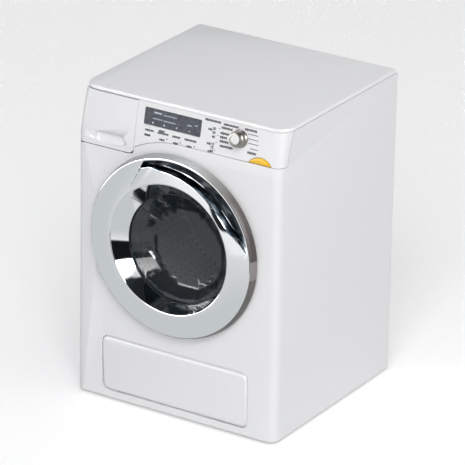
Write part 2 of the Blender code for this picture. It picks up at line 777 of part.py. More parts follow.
def cabinet_body():
    """One moulding: the front panel and both sides, open at the top, the rear and the bottom."""
    stations = [("side", -1, REAR_Y)]
    stations += corner_stations(-1, True)
    stations += corner_stations(1, False)
    stations += [("side", 1, REAR_Y)]
    levels = [BASE_Z, FLAP_BOTTOM_Z, LEAN_START_Z]
    levels += [LEAN_START_Z + LEAN_BLEND * (i + 1) / LEAN_STEPS for i in range(LEAN_STEPS)]
    levels += [FASCIA_TOP_Z]
    heights = [[z] * len(stations) for z in levels]
    body = wall_strip("cabinet_body", stations, heights, white_plastic())

    seam = seam_outline(GAP)
    top = FASCIA_TOP_Z + OVERRUN
    outline = seam + [(HALF_W + OVERRUN, top), (-HALF_W - OVERRUN, top)]
    start = Vector((0.0, FRONT_Y - OVERRUN, 0.0))
    depth = Y_AXIS * (DEPTH / 3)
    seam_cut = prism("seam_cut", outline, start, X_AXIS, Z_AXIS, depth, white_plastic())
    edge = [(wrap_y(z) + GAP, z) for z in levels[1:]]
    low_z = FLAP_BOTTOM_Z - FLAP_CORNER_R
    edge = [(FRONT_Y - 2 * OVERRUN, low_z), (edge[0][0], low_z)] + edge
    edge += [(edge[-1][0] + OVERRUN / 4, top + OVERRUN), (FRONT_Y - 2 * OVERRUN, top + OVERRUN)]
    start = Vector((-HALF_W - 2 * OVERRUN, 0.0, 0.0))
    depth = X_AXIS * (WIDTH + 4 * OVERRUN)
    leaning = prism("leaning", edge, start, Y_AXIS, Z_AXIS, depth, white_plastic())
    cut(body, combine(seam_cut, leaning, "INTERSECT"))

    reach = math.hypot(FLAP_AXIS_BEHIND, FLAP_AXIS_Z - FLAP_BOTTOM_Z) + GAP
    axis_start = Vector((-HALF_W + WALL / 2, FLAP_AXIS_Y, FLAP_AXIS_Z))
    axis_end = Vector((FLAP_RIGHT_X - FLAP_CORNER_R, FLAP_AXIS_Y, FLAP_AXIS_Z))
    cut(body, rod("flap_sweep_cut", reach, axis_start, axis_end, STEPS_MEDIUM, white_plastic()))
    for i in range(1, FLAP_SWEEP_STEPS + 1):
        cut(body, flap_corner_room(FLAP_RANGE * i / FLAP_SWEEP_STEPS))

    before = DOOR_CENTRE - Y_AXIS * OVERRUN
    behind = DOOR_CENTRE + Y_AXIS * (WALL + OVERRUN)
    cut(body, rod("door_hole", DOOR_OPENING_R, before, behind, STEPS_LARGE, white_plastic()))

    kick_mid_z = (KICK_LOW_Z + KICK_HIGH_Z) / 2
    half_h = (KICK_HIGH_Z - KICK_LOW_Z) / 2 + GAP
    outline = rounded_rectangle(KICK_HALF_W + GAP, half_h, KICK_CORNER_R + GAP)
    start = Vector((0.0, FRONT_Y - OVERRUN, kick_mid_z))
    depth = Y_AXIS * (WALL + 2 * OVERRUN)
    cut(body, prism("kick_hole", outline, start, X_AXIS, Z_AXIS, depth, white_plastic()))

    slot_half_w = (LATCH_W + LATCH_HOOK) / 2 + LATCH_SLOT_GAP
    slot_half_h = LATCH_H / 2 + GAP
    slot_x = LATCH_X + LATCH_HOOK / 2
    low = (slot_x - slot_half_w, FRONT_Y - OVERRUN, DOOR_Z - slot_half_h)
    high = (slot_x + slot_half_w, FRONT_Y + WALL + OVERRUN, DOOR_Z + slot_half_h)
    cut(body, block("latch_slot", low, high, white_plastic()))

    for x, z in cabinet_posts():
        start = Vector((x, PANEL_REAR_Y - WALL - SEAT - POST_L, z))
        end = Vector((x, PANEL_REAR_Y - WALL - SEAT, z))
        post = rod("post", POST_R, start, end, STEPS_TINY, white_plastic())
        pilot = rod("pilot", PILOT_R, start + Y_AXIS * OVERRUN, end + Y_AXIS * OVERRUN, STEPS_TINY, white_plastic())
        join(body, cut(post, pilot))

    for x, z in tub_ear_places():
        start = Vector((x, FRONT_Y + WALL - OVERLAP, z))
        end = Vector((x, TUB_FRONT_Y - WALL - SEAT, z))
        boss = rod("boss", TUB_BOSS_R, start, end, STEPS_TINY, white_plastic())
        pilot = rod("pilot", PILOT_R, start + Y_AXIS * WALL, end + Y_AXIS * OVERRUN, STEPS_TINY, white_plastic())
        join(body, cut(boss, pilot))

    lug = hinge_lug()
    join(body, lug)
    return shade(body)


def flap_corner_room(turn):
    """The space that the flap's rounded lower corner needs when it has tilted by a turn."""
    corner_x = FLAP_RIGHT_X - FLAP_CORNER_R
    radius = FLAP_CORNER_R + GAP
    outline = [(corner_x - FLAP_CORNER_R, FLAP_BOTTOM_Z - GAP)]
    for i in range(CORNER_STEPS + 1):
        angle = math.pi / 2 * i / CORNER_STEPS
        outline.append((corner_x + radius * math.sin(angle), FLAP_BOTTOM_Z + FLAP_CORNER_R - radius * math.cos(angle)))
    high = FLAP_BOTTOM_Z + 2 * FLAP_CORNER_R
    outline += [(corner_x + radius, high), (corner_x - FLAP_CORNER_R, high)]
    start = Vector((0.0, FRONT_Y - GAP, 0.0))
    room = prism("corner_room", outline, start, X_AXIS, Z_AXIS, Y_AXIS * (WALL + 2 * GAP), white_plastic())
    axis = Vector((0.0, FLAP_AXIS_Y, FLAP_AXIS_Z))
    swing = Matrix.Translation(axis) @ Matrix.Rotation(turn, 4, "X") @ Matrix.Translation(-axis)
    room.data.transform(swing)
    return room


def hinge_lug():
    """The lug that stands out of the front panel and carries the door's pin."""
    half_h = HINGE_LUG_H / 2
    outline = []
    steps = STEPS_TINY // 2
    for i in range(steps + 1):
        angle = math.pi * (1 + i / steps)
        outline.append((HINGE_LUG_R * math.cos(angle), HINGE_LUG_R * math.sin(angle)))
    root = HINGE_AHEAD + OVERLAP
    outline += [(HINGE_LUG_R, root), (-0.6 * HINGE_LUG_R, root), (-0.45 * HINGE_LUG_R, HINGE_LUG_R)]
    origin = Vector((HINGE_X, HINGE_Y, DOOR_Z - half_h))
    lug = prism("hinge_lug", outline, origin, X_AXIS, Y_AXIS, Z_AXIS * HINGE_LUG_H, white_plastic())
    low = origin - Z_AXIS * OVERRUN
    high = origin + Z_AXIS * (HINGE_LUG_H + OVERRUN)
    return cut(lug, rod("hinge_bore", HINGE_BORE_R, low, high, STEPS_TINY, white_plastic()))


def worktop():
    """The lid: a shallow tray turned over, with a rim that drops inside the cabinet walls."""
    front = surface_y(FASCIA_TOP_Z) - FRONT_Y
    half_d = (DEPTH - DOOR_PROUD - front) / 2
    centre = Vector((0.0, REAR_Y - half_d, WORKTOP_LOW_Z))
    ring = rounded_rectangle(HALF_W, half_d, CORNER_R / 2, CORNER_STEPS, WORKTOP_CORNER_R)
    thick = WORKTOP_T
    lid = prism("worktop", ring, centre, X_AXIS, Y_AXIS, Z_AXIS * thick, white_plastic())
    bevel_edges(lid, WORKTOP_EDGE_R, 2, lambda co: co.z > HEIGHT - OVERLAP)

    inset = WALL + GAP
    rim_front = wrap_y(FASCIA_TOP_Z) + WALL + GAP
    rim_rear = PANEL_REAR_Y - WALL - SEAT
    half_x = HALF_W - inset
    half_y = (rim_rear - rim_front) / 2
    mid = Vector((0.0, (rim_rear + rim_front) / 2, WORKTOP_LOW_Z - WORKTOP_RIM))
    outer = rounded_rectangle(half_x, half_y, CORNER_R, 3)
    rim = prism("rim", outer, mid, X_AXIS, Y_AXIS, Z_AXIS * (WORKTOP_RIM + OVERLAP), white_plastic())
    inner = rounded_rectangle(half_x - WALL, half_y - WALL, CORNER_R - WALL, 3)
    hollow = prism("hollow", inner, mid - Z_AXIS * OVERRUN, X_AXIS, Y_AXIS,
                   Z_AXIS * (WORKTOP_RIM + thick / 3 + OVERRUN), white_plastic())
    join(lid, rim)
    cut(lid, hollow)
    for x, z in cabinet_posts()[2:]:
        start = Vector((x, rim_rear - POST_L - GAP, z))
        end = Vector((x, rim_rear + OVERRUN, z))
        cut(lid, rod("post_room", POST_R + GAP, start, end, STEPS_TINY, white_plastic()))
    return shade(lid)


def fascia():
    """The control fascia from the flap round the right corner, leaning back, with its cut-outs."""
    start_x = FLAP_RIGHT_X + GAP
    arc_end = 0.0
    xs = [start_x + (arc_end - start_x) * i / 6 for i in range(7)]
    stations = [("front", 0, x) for x in xs]
    stations += corner_stations(1, False)
    stations += [("wrap", 1, 0.0)]
    low = []
    for kind, side, value in stations:
        if kind == "front" and value < 0.0:
            low.append(DOOR_Z + math.sqrt(FASCIA_ARC_R ** 2 - value ** 2))
        else:
            low.append(FASCIA_BOTTOM_Z)
    rows = []
    for share in (0.0, 0.5, 1.0):
        rows.append([z + (FASCIA_TOP_Z - z) * share for z in low])
    body = wall_strip("fascia", stations, rows, white_plastic())

    face = panel_point(DISPLAY_X, DISPLAY_Z)
    through = PANEL_NORMAL * (OVERRUN * 4)
    outline = rounded_rectangle(DISPLAY_W / 2 - DISPLAY_LEDGE, DISPLAY_H / 2 - DISPLAY_LEDGE, OVERLAP, 2)
    hole = prism("display_hole", outline, face - through / 2, X_AXIS, PANEL_UP, through, white_plastic())
    outline = rounded_rectangle(DISPLAY_W / 2 + SEAT, DISPLAY_H / 2 + SEAT, OVERLAP + SEAT, 2)
    bed = prism("display_bed", outline, face - PANEL_NORMAL * (DISPLAY_T + SEAT), X_AXIS, PANEL_UP,
                PANEL_NORMAL * (DISPLAY_T + SEAT + OVERRUN), white_plastic())
    cut(body, hole, bed)

    face = panel_point(DIAL_X, DIAL_Z)
    through = PANEL_NORMAL * OVERRUN * 2
    cut(body, rod("dial_hole", DIAL_STEM_R + GAP, face - through, face + through, STEPS_SMALL, white_plastic()))

    low_face = panel_point(BUTTON_X, FASCIA_BOTTOM_Z + BUTTON_H / 4)
    outline = button_outline(GAP)
    base = low_face - PANEL_UP * (BUTTON_H / 4)
    through = PANEL_NORMAL * (OVERRUN * 4)
    tool = prism("button_hole", outline, base - through / 2, X_AXIS, PANEL_UP, through, white_plastic())
    slot_low = Vector((BUTTON_X - BUTTON_HALF_W - GAP, base.y - WALL - OVERRUN, base.z - OVERRUN))
    slot_high = Vector((BUTTON_X + BUTTON_HALF_W + GAP, base.y + WALL + OVERRUN, base.z + SEAT))
    cut(body, tool, block("button_mouth", slot_low, slot_high, white_plastic()))
    return shade(body)


def display_window():
    """The dark window plate, let in flush with the fascia."""
    face = panel_point(DISPLAY_X, DISPLAY_Z)
    outline = rounded_rectangle(DISPLAY_W / 2, DISPLAY_H / 2, OVERLAP, 2)
    return prism("display_window", outline, face - PANEL_NORMAL * DISPLAY_T, X_AXIS, PANEL_UP,
                 PANEL_NORMAL * DISPLAY_T, dark_plastic())


def dispenser_flap():
    """The tilting front of the dispenser, wrapped round the left corner, with its grip recess and hinge barrel."""
    stations = [("wrap", -1, 0.0)]
    stations += corner_stations(-1, True)
    corner_x = FLAP_RIGHT_X - FLAP_CORNER_R
    stations += [("front", 0, GRIP_POCKET_LEFT_X), ("front", 0, corner_x)]
    turns = [math.pi / 2 * i / 4 for i in range(1, 5)]
    stations += [("front", 0, corner_x + FLAP_CORNER_R * math.sin(turn)) for turn in turns]
    low = []
    for kind, side, value in stations:
        if kind == "front" and value > corner_x:
            across_x = min((value - corner_x) / FLAP_CORNER_R, 1.0)
            low.append(FLAP_BOTTOM_Z + FLAP_CORNER_R * (1 - math.sqrt(1 - across_x ** 2)))
        else:
            low.append(FLAP_BOTTOM_Z)
    top = FASCIA_TOP_Z - FLAP_TOP_DROP
    swing = WORKTOP_LOW_Z - SEAT - FLAP_AXIS_Z
    tops = []
    for station in stations:
        behind = station_point(station, top, 0.0).y - FLAP_AXIS_Y
        tops.append(min(top, FLAP_AXIS_Z + math.sqrt(swing ** 2 - behind ** 2)))
    rows = []
    for share in (0.0, 0.12, 0.25, 0.45, 0.7, 1.0):
        rows.append([z + (high - z) * share for z, high in zip(low, tops)])
    body = wall_strip("dispenser_flap", stations, rows, white_plastic())

    axis = Vector((0.0, FLAP_AXIS_Y, FLAP_AXIS_Z))
    reach = wrap_y(FLAP_AXIS_Z) - FLAP_AXIS_Y
    corner = [(reach + OVERRUN, -OVERRUN * 3), (reach + OVERRUN, 0.0), (reach, 0.0)]
    low_y = math.sqrt(reach ** 2 - (FLAP_AXIS_Z - FLAP_BOTTOM_Z) ** 2)
    corner += [(low_y, FLAP_BOTTOM_Z - FLAP_AXIS_Z), (low_y - OVERRUN, -OVERRUN * 3)]
    start = axis + X_AXIS * (-HALF_W - OVERRUN)
    cut(body, prism("rear_corner", corner, start, Y_AXIS, Z_AXIS, X_AXIS * (WALL + 2 * OVERRUN), white_plastic()))

    depth = GRIP_POCKET_DEPTH + GRIP_POCKET_WALL
    low = (GRIP_POCKET_LEFT_X - GRIP_POCKET_WALL, FRONT_Y + WALL / 2, GRIP_POCKET_LOW_Z - GRIP_POCKET_WALL)
    high = (GRIP_POCKET_RIGHT_X + GRIP_POCKET_WALL, FRONT_Y + depth, GRIP_POCKET_HIGH_Z + GRIP_POCKET_WALL)
    join(body, block("pocket", low, high, white_plastic()))

    barrel_low = Vector((FLAP_BARREL_LEFT_X, FLAP_AXIS_Y, FLAP_AXIS_Z))
    barrel_high = Vector((FLAP_BARREL_RIGHT_X, FLAP_AXIS_Y, FLAP_AXIS_Z))
    stub_low = barrel_low - X_AXIS * FLAP_STUB_L
    stub_high = barrel_high + X_AXIS * FLAP_STUB_L
    join(body, rod("barrel", FLAP_BARREL_R, barrel_low, barrel_high, STEPS_TINY, white_plastic()))
    join(body, rod("stubs", FLAP_STUB_R, stub_low, stub_high, STEPS_TINY, white_plastic()))

    half_w = (GRIP_POCKET_RIGHT_X - GRIP_POCKET_LEFT_X) / 2
    half_h = (GRIP_POCKET_HIGH_Z - GRIP_POCKET_LOW_Z) / 2
    radius = half_h * 0.8
    rim = rounded_rectangle(half_w, half_h, radius)
    floor = rounded_rectangle(half_w - GRIP_POCKET_WALL, half_h - GRIP_POCKET_WALL, radius - GRIP_POCKET_WALL)
    mid = Vector(((GRIP_POCKET_LEFT_X + GRIP_POCKET_RIGHT_X) / 2, 0.0, (GRIP_POCKET_LOW_Z + GRIP_POCKET_HIGH_Z) / 2))
    rows = []
    rows.append([Vector((mid.x + x, FRONT_Y - OVERRUN, mid.z + z)) for x, z in rim])
    rows.append([Vector((mid.x + x, FRONT_Y + OVERLAP, mid.z + z)) for x, z in rim])
    deep = []
    for x, z in floor:
        share = 0.62 + 0.38 * (z + half_h) / (2 * half_h)
        deep.append(Vector((mid.x + x, FRONT_Y + GRIP_POCKET_DEPTH * share, mid.z + z)))
    rows.append(deep)
    cut(body, skin("grip_recess", rows, white_plastic(), wrap=False))

    right = FLAP_RIGHT_X - FLAP_CHEEK_T / 2
    low_z = GRIP_POCKET_HIGH_Z - GRIP_POCKET_WALL
    high_z = FLAP_AXIS_Z + FLAP_CHEEK_R * math.sin(FLAP_CHEEK_HIGH)
    cheek = [(surface_y(low_z) + WALL / 2, low_z), (surface_y(high_z) + WALL / 2, high_z)]
    for i in range(6):
        angle = FLAP_CHEEK_HIGH + (FLAP_CHEEK_LOW - FLAP_CHEEK_HIGH) * i / 5
        cheek.append((FLAP_AXIS_Y + FLAP_CHEEK_R * math.cos(angle), FLAP_AXIS_Z + FLAP_CHEEK_R * math.sin(angle)))
    cheek.append((surface_y(low_z) + WALL + FLAP_CORNER_R, low_z))
    start = Vector((right - FLAP_CHEEK_T, 0.0, 0.0))
    join(body, prism("cheek", cheek, start, Y_AXIS, Z_AXIS, X_AXIS * FLAP_CHEEK_T, white_plastic()))
    return shade(body)


def water_hopper():
    """The dark box behind the flap that water is poured into, with its spout and the flap's two ears."""
    left = -HALF_W + WALL + SEAT
    front = FRONT_Y + HOPPER_FRONT
    rear = front + HOPPER_DEPTH
    box = block("water_hopper", (left, front, HOPPER_LOW_Z), (HOPPER_RIGHT_X, rear, HOPPER_HIGH_Z), dark_plastic())
    room_low = (left + HOPPER_T, front + HOPPER_T, HOPPER_LOW_Z + HOPPER_T)
    room_high = (HOPPER_RIGHT_X - HOPPER_T, rear - HOPPER_T, HOPPER_HIGH_Z + OVERRUN)
    lip_low = (left - OVERRUN, front - OVERRUN, HOPPER_LIP_Z)
    lip_high = (HOPPER_RIGHT_X + OVERRUN, front + HOPPER_T + OVERRUN, HOPPER_HIGH_Z + OVERRUN)
    cut(box, block("room", room_low, room_high, dark_plastic()), block("lip", lip_low, lip_high, dark_plastic()))

    start = Vector((INLET_X, INLET_Y, INLET_TOP_Z - OVERRUN))
    end = Vector((INLET_X, INLET_Y, HOPPER_LOW_Z + OVERLAP))
    join(box, rod("spout", SPOUT_R, start, end, STEPS_TINY, dark_plastic()))
    cut(box, rod("spout_bore", SPOUT_BORE_R, start - Z_AXIS * OVERRUN, end + Z_AXIS * OVERRUN * 2,
                 STEPS_TINY, dark_plastic()))

    for edge, step in ((FLAP_BARREL_LEFT_X, -1), (FLAP_BARREL_RIGHT_X, 1)):
        near = edge + step * SEAT
        start_x = min(near, near + step * FLAP_EAR_T)
        run = front - FLAP_AXIS_Y + HOPPER_T / 2
        half = FLAP_EAR_HALF
        bore = FLAP_EAR_BORE_R
        outline = [(-0.9 * bore, half), (-0.9 * bore, 0.0), (-0.35 * bore, -1.25 * bore), (0.15 * half, -half),
                   (run, -half), (run, half)]
        origin = Vector((start_x, FLAP_AXIS_Y, FLAP_AXIS_Z))
        ear = prism("ear", outline, origin, Y_AXIS, Z_AXIS, X_AXIS * FLAP_EAR_T, dark_plastic())
        bore_start = origin - X_AXIS * OVERRUN
        bore_end = origin + X_AXIS * (FLAP_EAR_T + OVERRUN)
        cut(ear, rod("ear_bore", FLAP_EAR_BORE_R, bore_start, bore_end, STEPS_TINY, dark_plastic()))
        join(box, ear)
    return shade(box)


def kick_panel():
    """The kick panel let into the foot of the front, with rounded corners and a rounded front edge."""
    mid_z = (KICK_LOW_Z + KICK_HIGH_Z) / 2
    half_h = (KICK_HIGH_Z - KICK_LOW_Z) / 2
    outline = rounded_rectangle(KICK_HALF_W, half_h, KICK_CORNER_R)
    rows = []
    rear = [Vector((x, FRONT_Y + WALL, mid_z + z)) for x, z in outline]
    rows.append(rear)
    for i in range(CORNER_STEPS + 1):
        angle = math.pi / 2 * i / CORNER_STEPS
        inset = KICK_EDGE_R * (1 - math.cos(angle))
        ahead = KICK_EDGE_R * (1 - math.sin(angle))
        scale_x = (KICK_HALF_W - inset) / KICK_HALF_W
        scale_z = (half_h - inset) / half_h
        row = []
        for x, z in outline:
            lean = KICK_LEAN * (half_h - z) / (2 * half_h)
            row.append(Vector((x * scale_x, FRONT_Y + ahead + lean, mid_z + z * scale_z)))
        rows.append(row)
    panel = skin("kick_panel", rows, white_plastic(), wrap=False)
    tab_half = KICK_TAB_H
    low = (-tab_half, FRONT_Y + WALL - OVERLAP, KICK_LOW_Z + SEAT)
    high = (tab_half, FRONT_Y + 2 * WALL + OVERLAP, KICK_LOW_Z + KICK_TAB_H)
    for x in (-KICK_HALF_W * 0.7, KICK_HALF_W * 0.7):
        shift = Vector((x, 0.0, 0.0))
        join(panel, block("tab", Vector(low) + shift, Vector(high) + shift, white_plastic()))
    return shade(panel)


def base_pan():
    """The bottom plate with an upturned rim and sockets for the feet."""
    half_x = HALF_W - WALL - SEAT
    front = FRONT_Y + WALL + SEAT
    rear = PANEL_REAR_Y - WALL - SEAT
    half_y = (rear - front) / 2
    mid = Vector((0.0, (rear + front) / 2, BASE_Z))
    outline = rounded_rectangle(half_x, half_y, CORNER_R - WALL, 3)
    pan = prism("base_pan", outline, mid, X_AXIS, Y_AXIS, Z_AXIS * (BASE_T + BASE_RIM_H), pale_grey_plastic())
    inner = rounded_rectangle(half_x - WALL, half_y - WALL, CORNER_R - 2 * WALL, 3)
    room = prism("room", inner, mid + Z_AXIS * BASE_T, X_AXIS, Y_AXIS, Z_AXIS * (BASE_RIM_H + OVERRUN),
                 pale_grey_plastic())
    cut(pan, room)
    notch_z = KICK_LOW_Z - GAP
    for x in (-KICK_HALF_W * 0.7, KICK_HALF_W * 0.7):
        low = (x - KICK_TAB_H - GAP, front - OVERRUN, notch_z)
        high = (x + KICK_TAB_H + GAP, front + WALL + OVERRUN, BASE_Z + BASE_T + BASE_RIM_H + OVERRUN)
        cut(pan, block("notch", low, high, pale_grey_plastic()))
    for x, y in foot_places():
        start = Vector((x, y, BASE_Z - OVERRUN))
        end = Vector((x, y, BASE_Z + BASE_T + OVERRUN))
        cut(pan, rod("foot_hole", FOOT_STEM_R + SEAT, start, end, STEPS_TINY, pale_grey_plastic()))
    return shade(pan)


def foot_places():
    x = HALF_W - FOOT_INSET
    front = FRONT_Y + FOOT_INSET
    rear = PANEL_REAR_Y - FOOT_INSET
    return [(-x, front), (x, front), (-x, rear), (x, rear)]


def feet():
    """Four rubber feet pushed into the base."""
    for number, (x, y) in enumerate(foot_places(), 1):
        top = BASE_Z - SEAT
        profile = [(FOOT_TIP_R, 0.0), (FOOT_R, top / 2), (FOOT_R, top), (FOOT_STEM_R, top),
                   (FOOT_STEM_R, BASE_Z + BASE_T)]
        foot = turned(f"foot_{number}", profile, Vector((x, y, 0.0)), Z_AXIS, STEPS_SMALL, black_rubber())
        shade(foot)


def plain_dome(radius):
    """Depth of the door ring's domed front at a radius."""
    share = (radius - BEZEL_R) / (RING_RIM_R - BEZEL_R)
    share = min(max(share, 0.0), 1.0)
    return DOOR_PROUD - (DOOR_PROUD - RING_RIM_DEPTH) * share ** 1.5


def grip_end_angle(radius):
    """Angle at which the slanted end wall of the grip crosses a radius."""
    radius = max(radius, BEZEL_R * 0.99)
    return GRIP_END_NORMAL - math.acos(GRIP_END_OFFSET / radius)


def smooth(value):
    value = min(max(value, 0.0), 1.0)
    return value * value * (3 - 2 * value)


def grip_inner_radius(angle):
    """Radius at which the raised band ends and the grip begins; it meets the rim at the grip's point."""
    table = GRIP_EDGE_SHARES
    turn = math.degrees(angle)
    if turn <= table[0][0]:
        return GRIP_RIM_INNER_R * table[0][1]
    for i in range(len(table) - 1):
        low, high = table[i], table[i + 1]
        if turn <= high[0]:
            before = table[max(i - 1, 0)]
            after = table[min(i + 2, len(table) - 1)]
            span = high[0] - low[0]
            start = (high[1] - before[1]) / (high[0] - before[0]) * span
            end = (after[1] - low[1]) / (after[0] - low[0]) * span
            t = (turn - low[0]) / span
            share = (low[1] * (2 * t ** 3 - 3 * t ** 2 + 1) + start * (t ** 3 - 2 * t ** 2 + t)
                     + high[1] * (3 * t ** 2 - 2 * t ** 3) + end * (t ** 3 - t ** 2))
            return GRIP_RIM_INNER_R * min(share, table[0][1])
    return GRIP_RIM_INNER_R * table[-1][1]


# Across the grip: share of its width, share of its depth
GRIP_SHARES = ((0.0, 0.0), (0.10, 0.50), (0.22, 0.92), (0.58, 1.0), (0.91, 0.88), (1.0, 0.08))
# Along the grip: degrees round the door, share of the rim's inner radius at which the raised band ends
GRIP_EDGE_SHARES = ((10.0, 0.992), (15.0, 0.940), (20.6, 0.891), (26.0, 0.843), (32.4, 0.818), (46.0, 0.811),
                    (57.0, 0.822), (70.4, 0.836), (84.1, 0.857), (98.4, 0.887), (110.5, 0.931))
BAND_SHARES = (0.5,)
# How far apart the inner wall's points stay where the grip runs out, in wall thicknesses
RING_WALL_SHARES = (1.2, 0.8, 0.4, 0.0)


def ring_column(angle, in_grip):
    """Outer and inner points of the door ring at one angle, as (radius, depth), from the rear edge round."""
    edge = grip_inner_radius(angle)
    width = GRIP_RIM_INNER_R - edge
    depth = min(GRIP_DEPTH, width * 0.8) if in_grip else 0.0
    drop = GRIP_BAND_DROP * min(width / GRIP_DEPTH, 1.0) if in_grip else 0.0
    outer = [(RING_REAR_R, RING_REAR_DEPTH), (RING_R, RING_REAR_DEPTH + (RING_R - RING_REAR_R)),
             (RING_RIM_R + RING_WALL, RING_RIM_DEPTH * 0.78), (RING_RIM_R, RING_RIM_DEPTH),
             (RING_CREST_R, plain_dome(RING_CREST_R))]
    groove = []
    for across_share, deep_share in reversed(GRIP_SHARES):
        radius = edge + width * across_share
        level = plain_dome(radius) - drop * (1 - across_share)
        groove.append((radius, level - depth * deep_share))
    band = []
    for share in reversed(BAND_SHARES):
        radius = BEZEL_R + (edge - BEZEL_R) * share
        band.append((radius, plain_dome(radius) - drop * share))
    bezel = [(BEZEL_R, DOOR_PROUD), (BEZEL_R - BEZEL_LIP, DOOR_PROUD - BEZEL_LIP / 2),
             (BEZEL_END_R, BEZEL_END_DEPTH)]
    outer += groove + band + bezel
    inner = [(BEZEL_END_R + RING_WALL, BEZEL_END_DEPTH), (BEZEL_R + RING_WALL / 2, DOOR_PROUD - 1.9 * RING_WALL)]
    inner.append((band[0][0], band[0][1] - RING_WALL))
    for order, (radius, level) in enumerate((groove[5], groove[4], groove[2], groove[1])):
        limit = RING_CREST_R - RING_WALL * (1 + RING_WALL_SHARES[order])
        inner.append((min(radius, limit), level - RING_WALL))
    inner.append((RING_RIM_R - RING_WALL * 0.9, RING_RIM_DEPTH - 1.6 * RING_WALL))
    inner.append((RING_REAR_R - RING_WALL, RING_REAR_DEPTH))
    return outer, inner


def ring_angles():
    """Angles of the ring's columns, closer together at the grip's two ends, with the end wall as a pair."""
    middle = grip_end_angle((BEZEL_R + RING_CREST_R) / 2)
    reach = middle - GRIP_POINT_ANGLE
    columns = [(GRIP_POINT_ANGLE + reach * i / GRIP_COLUMNS, True) for i in range(GRIP_COLUMNS)]
    columns += [(middle, True), (middle, False)]
    columns += [(middle + (2 * math.pi - reach) * i / BAND_COLUMNS, False) for i in range(1, BAND_COLUMNS)]
    return columns, middle


def door_ring():
    """The plated ring: domed front, crescent grip with a slanted end, thin rim, and the mirror bezel inside."""
    columns, middle = ring_angles()
    rows = []
    for angle, in_grip in columns:
        outer, inner = ring_column(angle, in_grip)
        away = angle - middle
        fade = smooth(1 - abs(away) / math.radians(38.0))
        row = []
        for radius, depth in outer + inner:
            slant = (grip_end_angle(radius) - middle) * fade
            turn = angle + slant
            if away == 0.0:
                turn += (-0.5 if in_grip else 0.5) * GRIP_END_STEP / radius
            x = radius * math.cos(turn)
            z = radius * math.sin(turn)
            row.append(DOOR_CENTRE + Vector((x, -depth, z)))
        rows.append(row)
    ring = skin("door_ring", rows, bright_plating(), wrap=True)
    half_h = HINGE_LUG_H / 2 + HINGE_EAR_H + GAP
    low = (-RING_R - OVERRUN, HINGE_Y - HINGE_LUG_R - GAP, DOOR_Z - HINGE_LUG_H / 2 - GAP)
    high = (HINGE_X + HINGE_LUG_R + GAP, FRONT_Y, DOOR_Z + HINGE_LUG_H / 2 + GAP)
    cut(ring, block("lug_room", low, high, bright_plating()))
    low = (-RING_R - OVERRUN, HINGE_Y - HINGE_LUG_R - GAP, DOOR_Z - half_h)
    high = (HINGE_X + HINGE_LUG_R + RING_WALL, FRONT_Y, DOOR_Z + half_h)
    cut(ring, block("ear_room", low, high, bright_plating()))
    return shade(ring, math.radians(28.0))


def door_back_frame():
    """The inner frame that closes the ring's back, holds the window and carries the hinge ears."""
    rear = RING_REAR_DEPTH
    front = rear + FRAME_PLATE_T
    outer_r = RING_REAR_R - RING_WALL - 2 * GAP
    inner_r = FRAME_INNER_R
    spigot_in = FRAME_SPIGOT_R - FRAME_SPIGOT_T
    lip = -BEZEL_END_DEPTH + GASKET_T + SEAT + WINDOW_T + SEAT
    profile = [(outer_r, -front), (outer_r, -rear), (FRAME_SPIGOT_R, -rear), (FRAME_SPIGOT_R, FRAME_SPIGOT_DEPTH),
               (FRAME_LIP_R, FRAME_SPIGOT_DEPTH), (FRAME_LIP_R, lip), (spigot_in, lip), (spigot_in, -rear),
               (inner_r, -rear), (inner_r, -front)]
    frame = turned("door_back_frame", profile, DOOR_CENTRE, Y_AXIS, STEPS_LARGE, grey_plastic(), hollow=True)
    low = (-RING_R - OVERRUN, FRONT_Y - front - OVERRUN, DOOR_Z - HINGE_LUG_H / 2 - SEAT)
    high = (HINGE_X + HINGE_LUG_R + GAP, FRONT_Y + OVERRUN, DOOR_Z + HINGE_LUG_H / 2 + SEAT)
    cut(frame, block("lug_notch", low, high, grey_plastic()))
    for side in (-1, 1):
        near = DOOR_Z + side * (HINGE_LUG_H / 2 + SEAT)
        far = near + side * HINGE_EAR_H
        outline = []
        steps = STEPS_TINY // 2
        for i in range(steps + 1):
            angle = math.pi * (1 + i / steps)
            outline.append((HINGE_EAR_T * math.cos(angle), HINGE_EAR_T * math.sin(angle)))
        root = HINGE_AHEAD - front + OVERLAP
        outline += [(HINGE_EAR_T, root), (-HINGE_EAR_T + OVERLAP, root)]
        origin = Vector((HINGE_X, HINGE_Y, min(near, far)))
        ear = prism("ear", outline, origin, X_AXIS, Y_AXIS, Z_AXIS * HINGE_EAR_H, grey_plastic())
        cut(ear, rod("ear_bore", HINGE_BORE_R, origin - Z_AXIS * OVERRUN,
                     origin + Z_AXIS * (HINGE_EAR_H + OVERRUN), STEPS_TINY, grey_plastic()))
        join(frame, ear)
    slot_low = (LATCH_X - LATCH_W / 2 - SEAT / 2, FRONT_Y - front - OVERRUN, DOOR_Z - LATCH_H / 2 - SEAT / 2)
    slot_high = (LATCH_X + LATCH_W / 2 + SEAT / 2, FRONT_Y + OVERRUN, DOOR_Z + LATCH_H / 2 + SEAT / 2)
    cut(frame, block("latch_slot", slot_low, slot_high, grey_plastic()))
    return shade(frame)


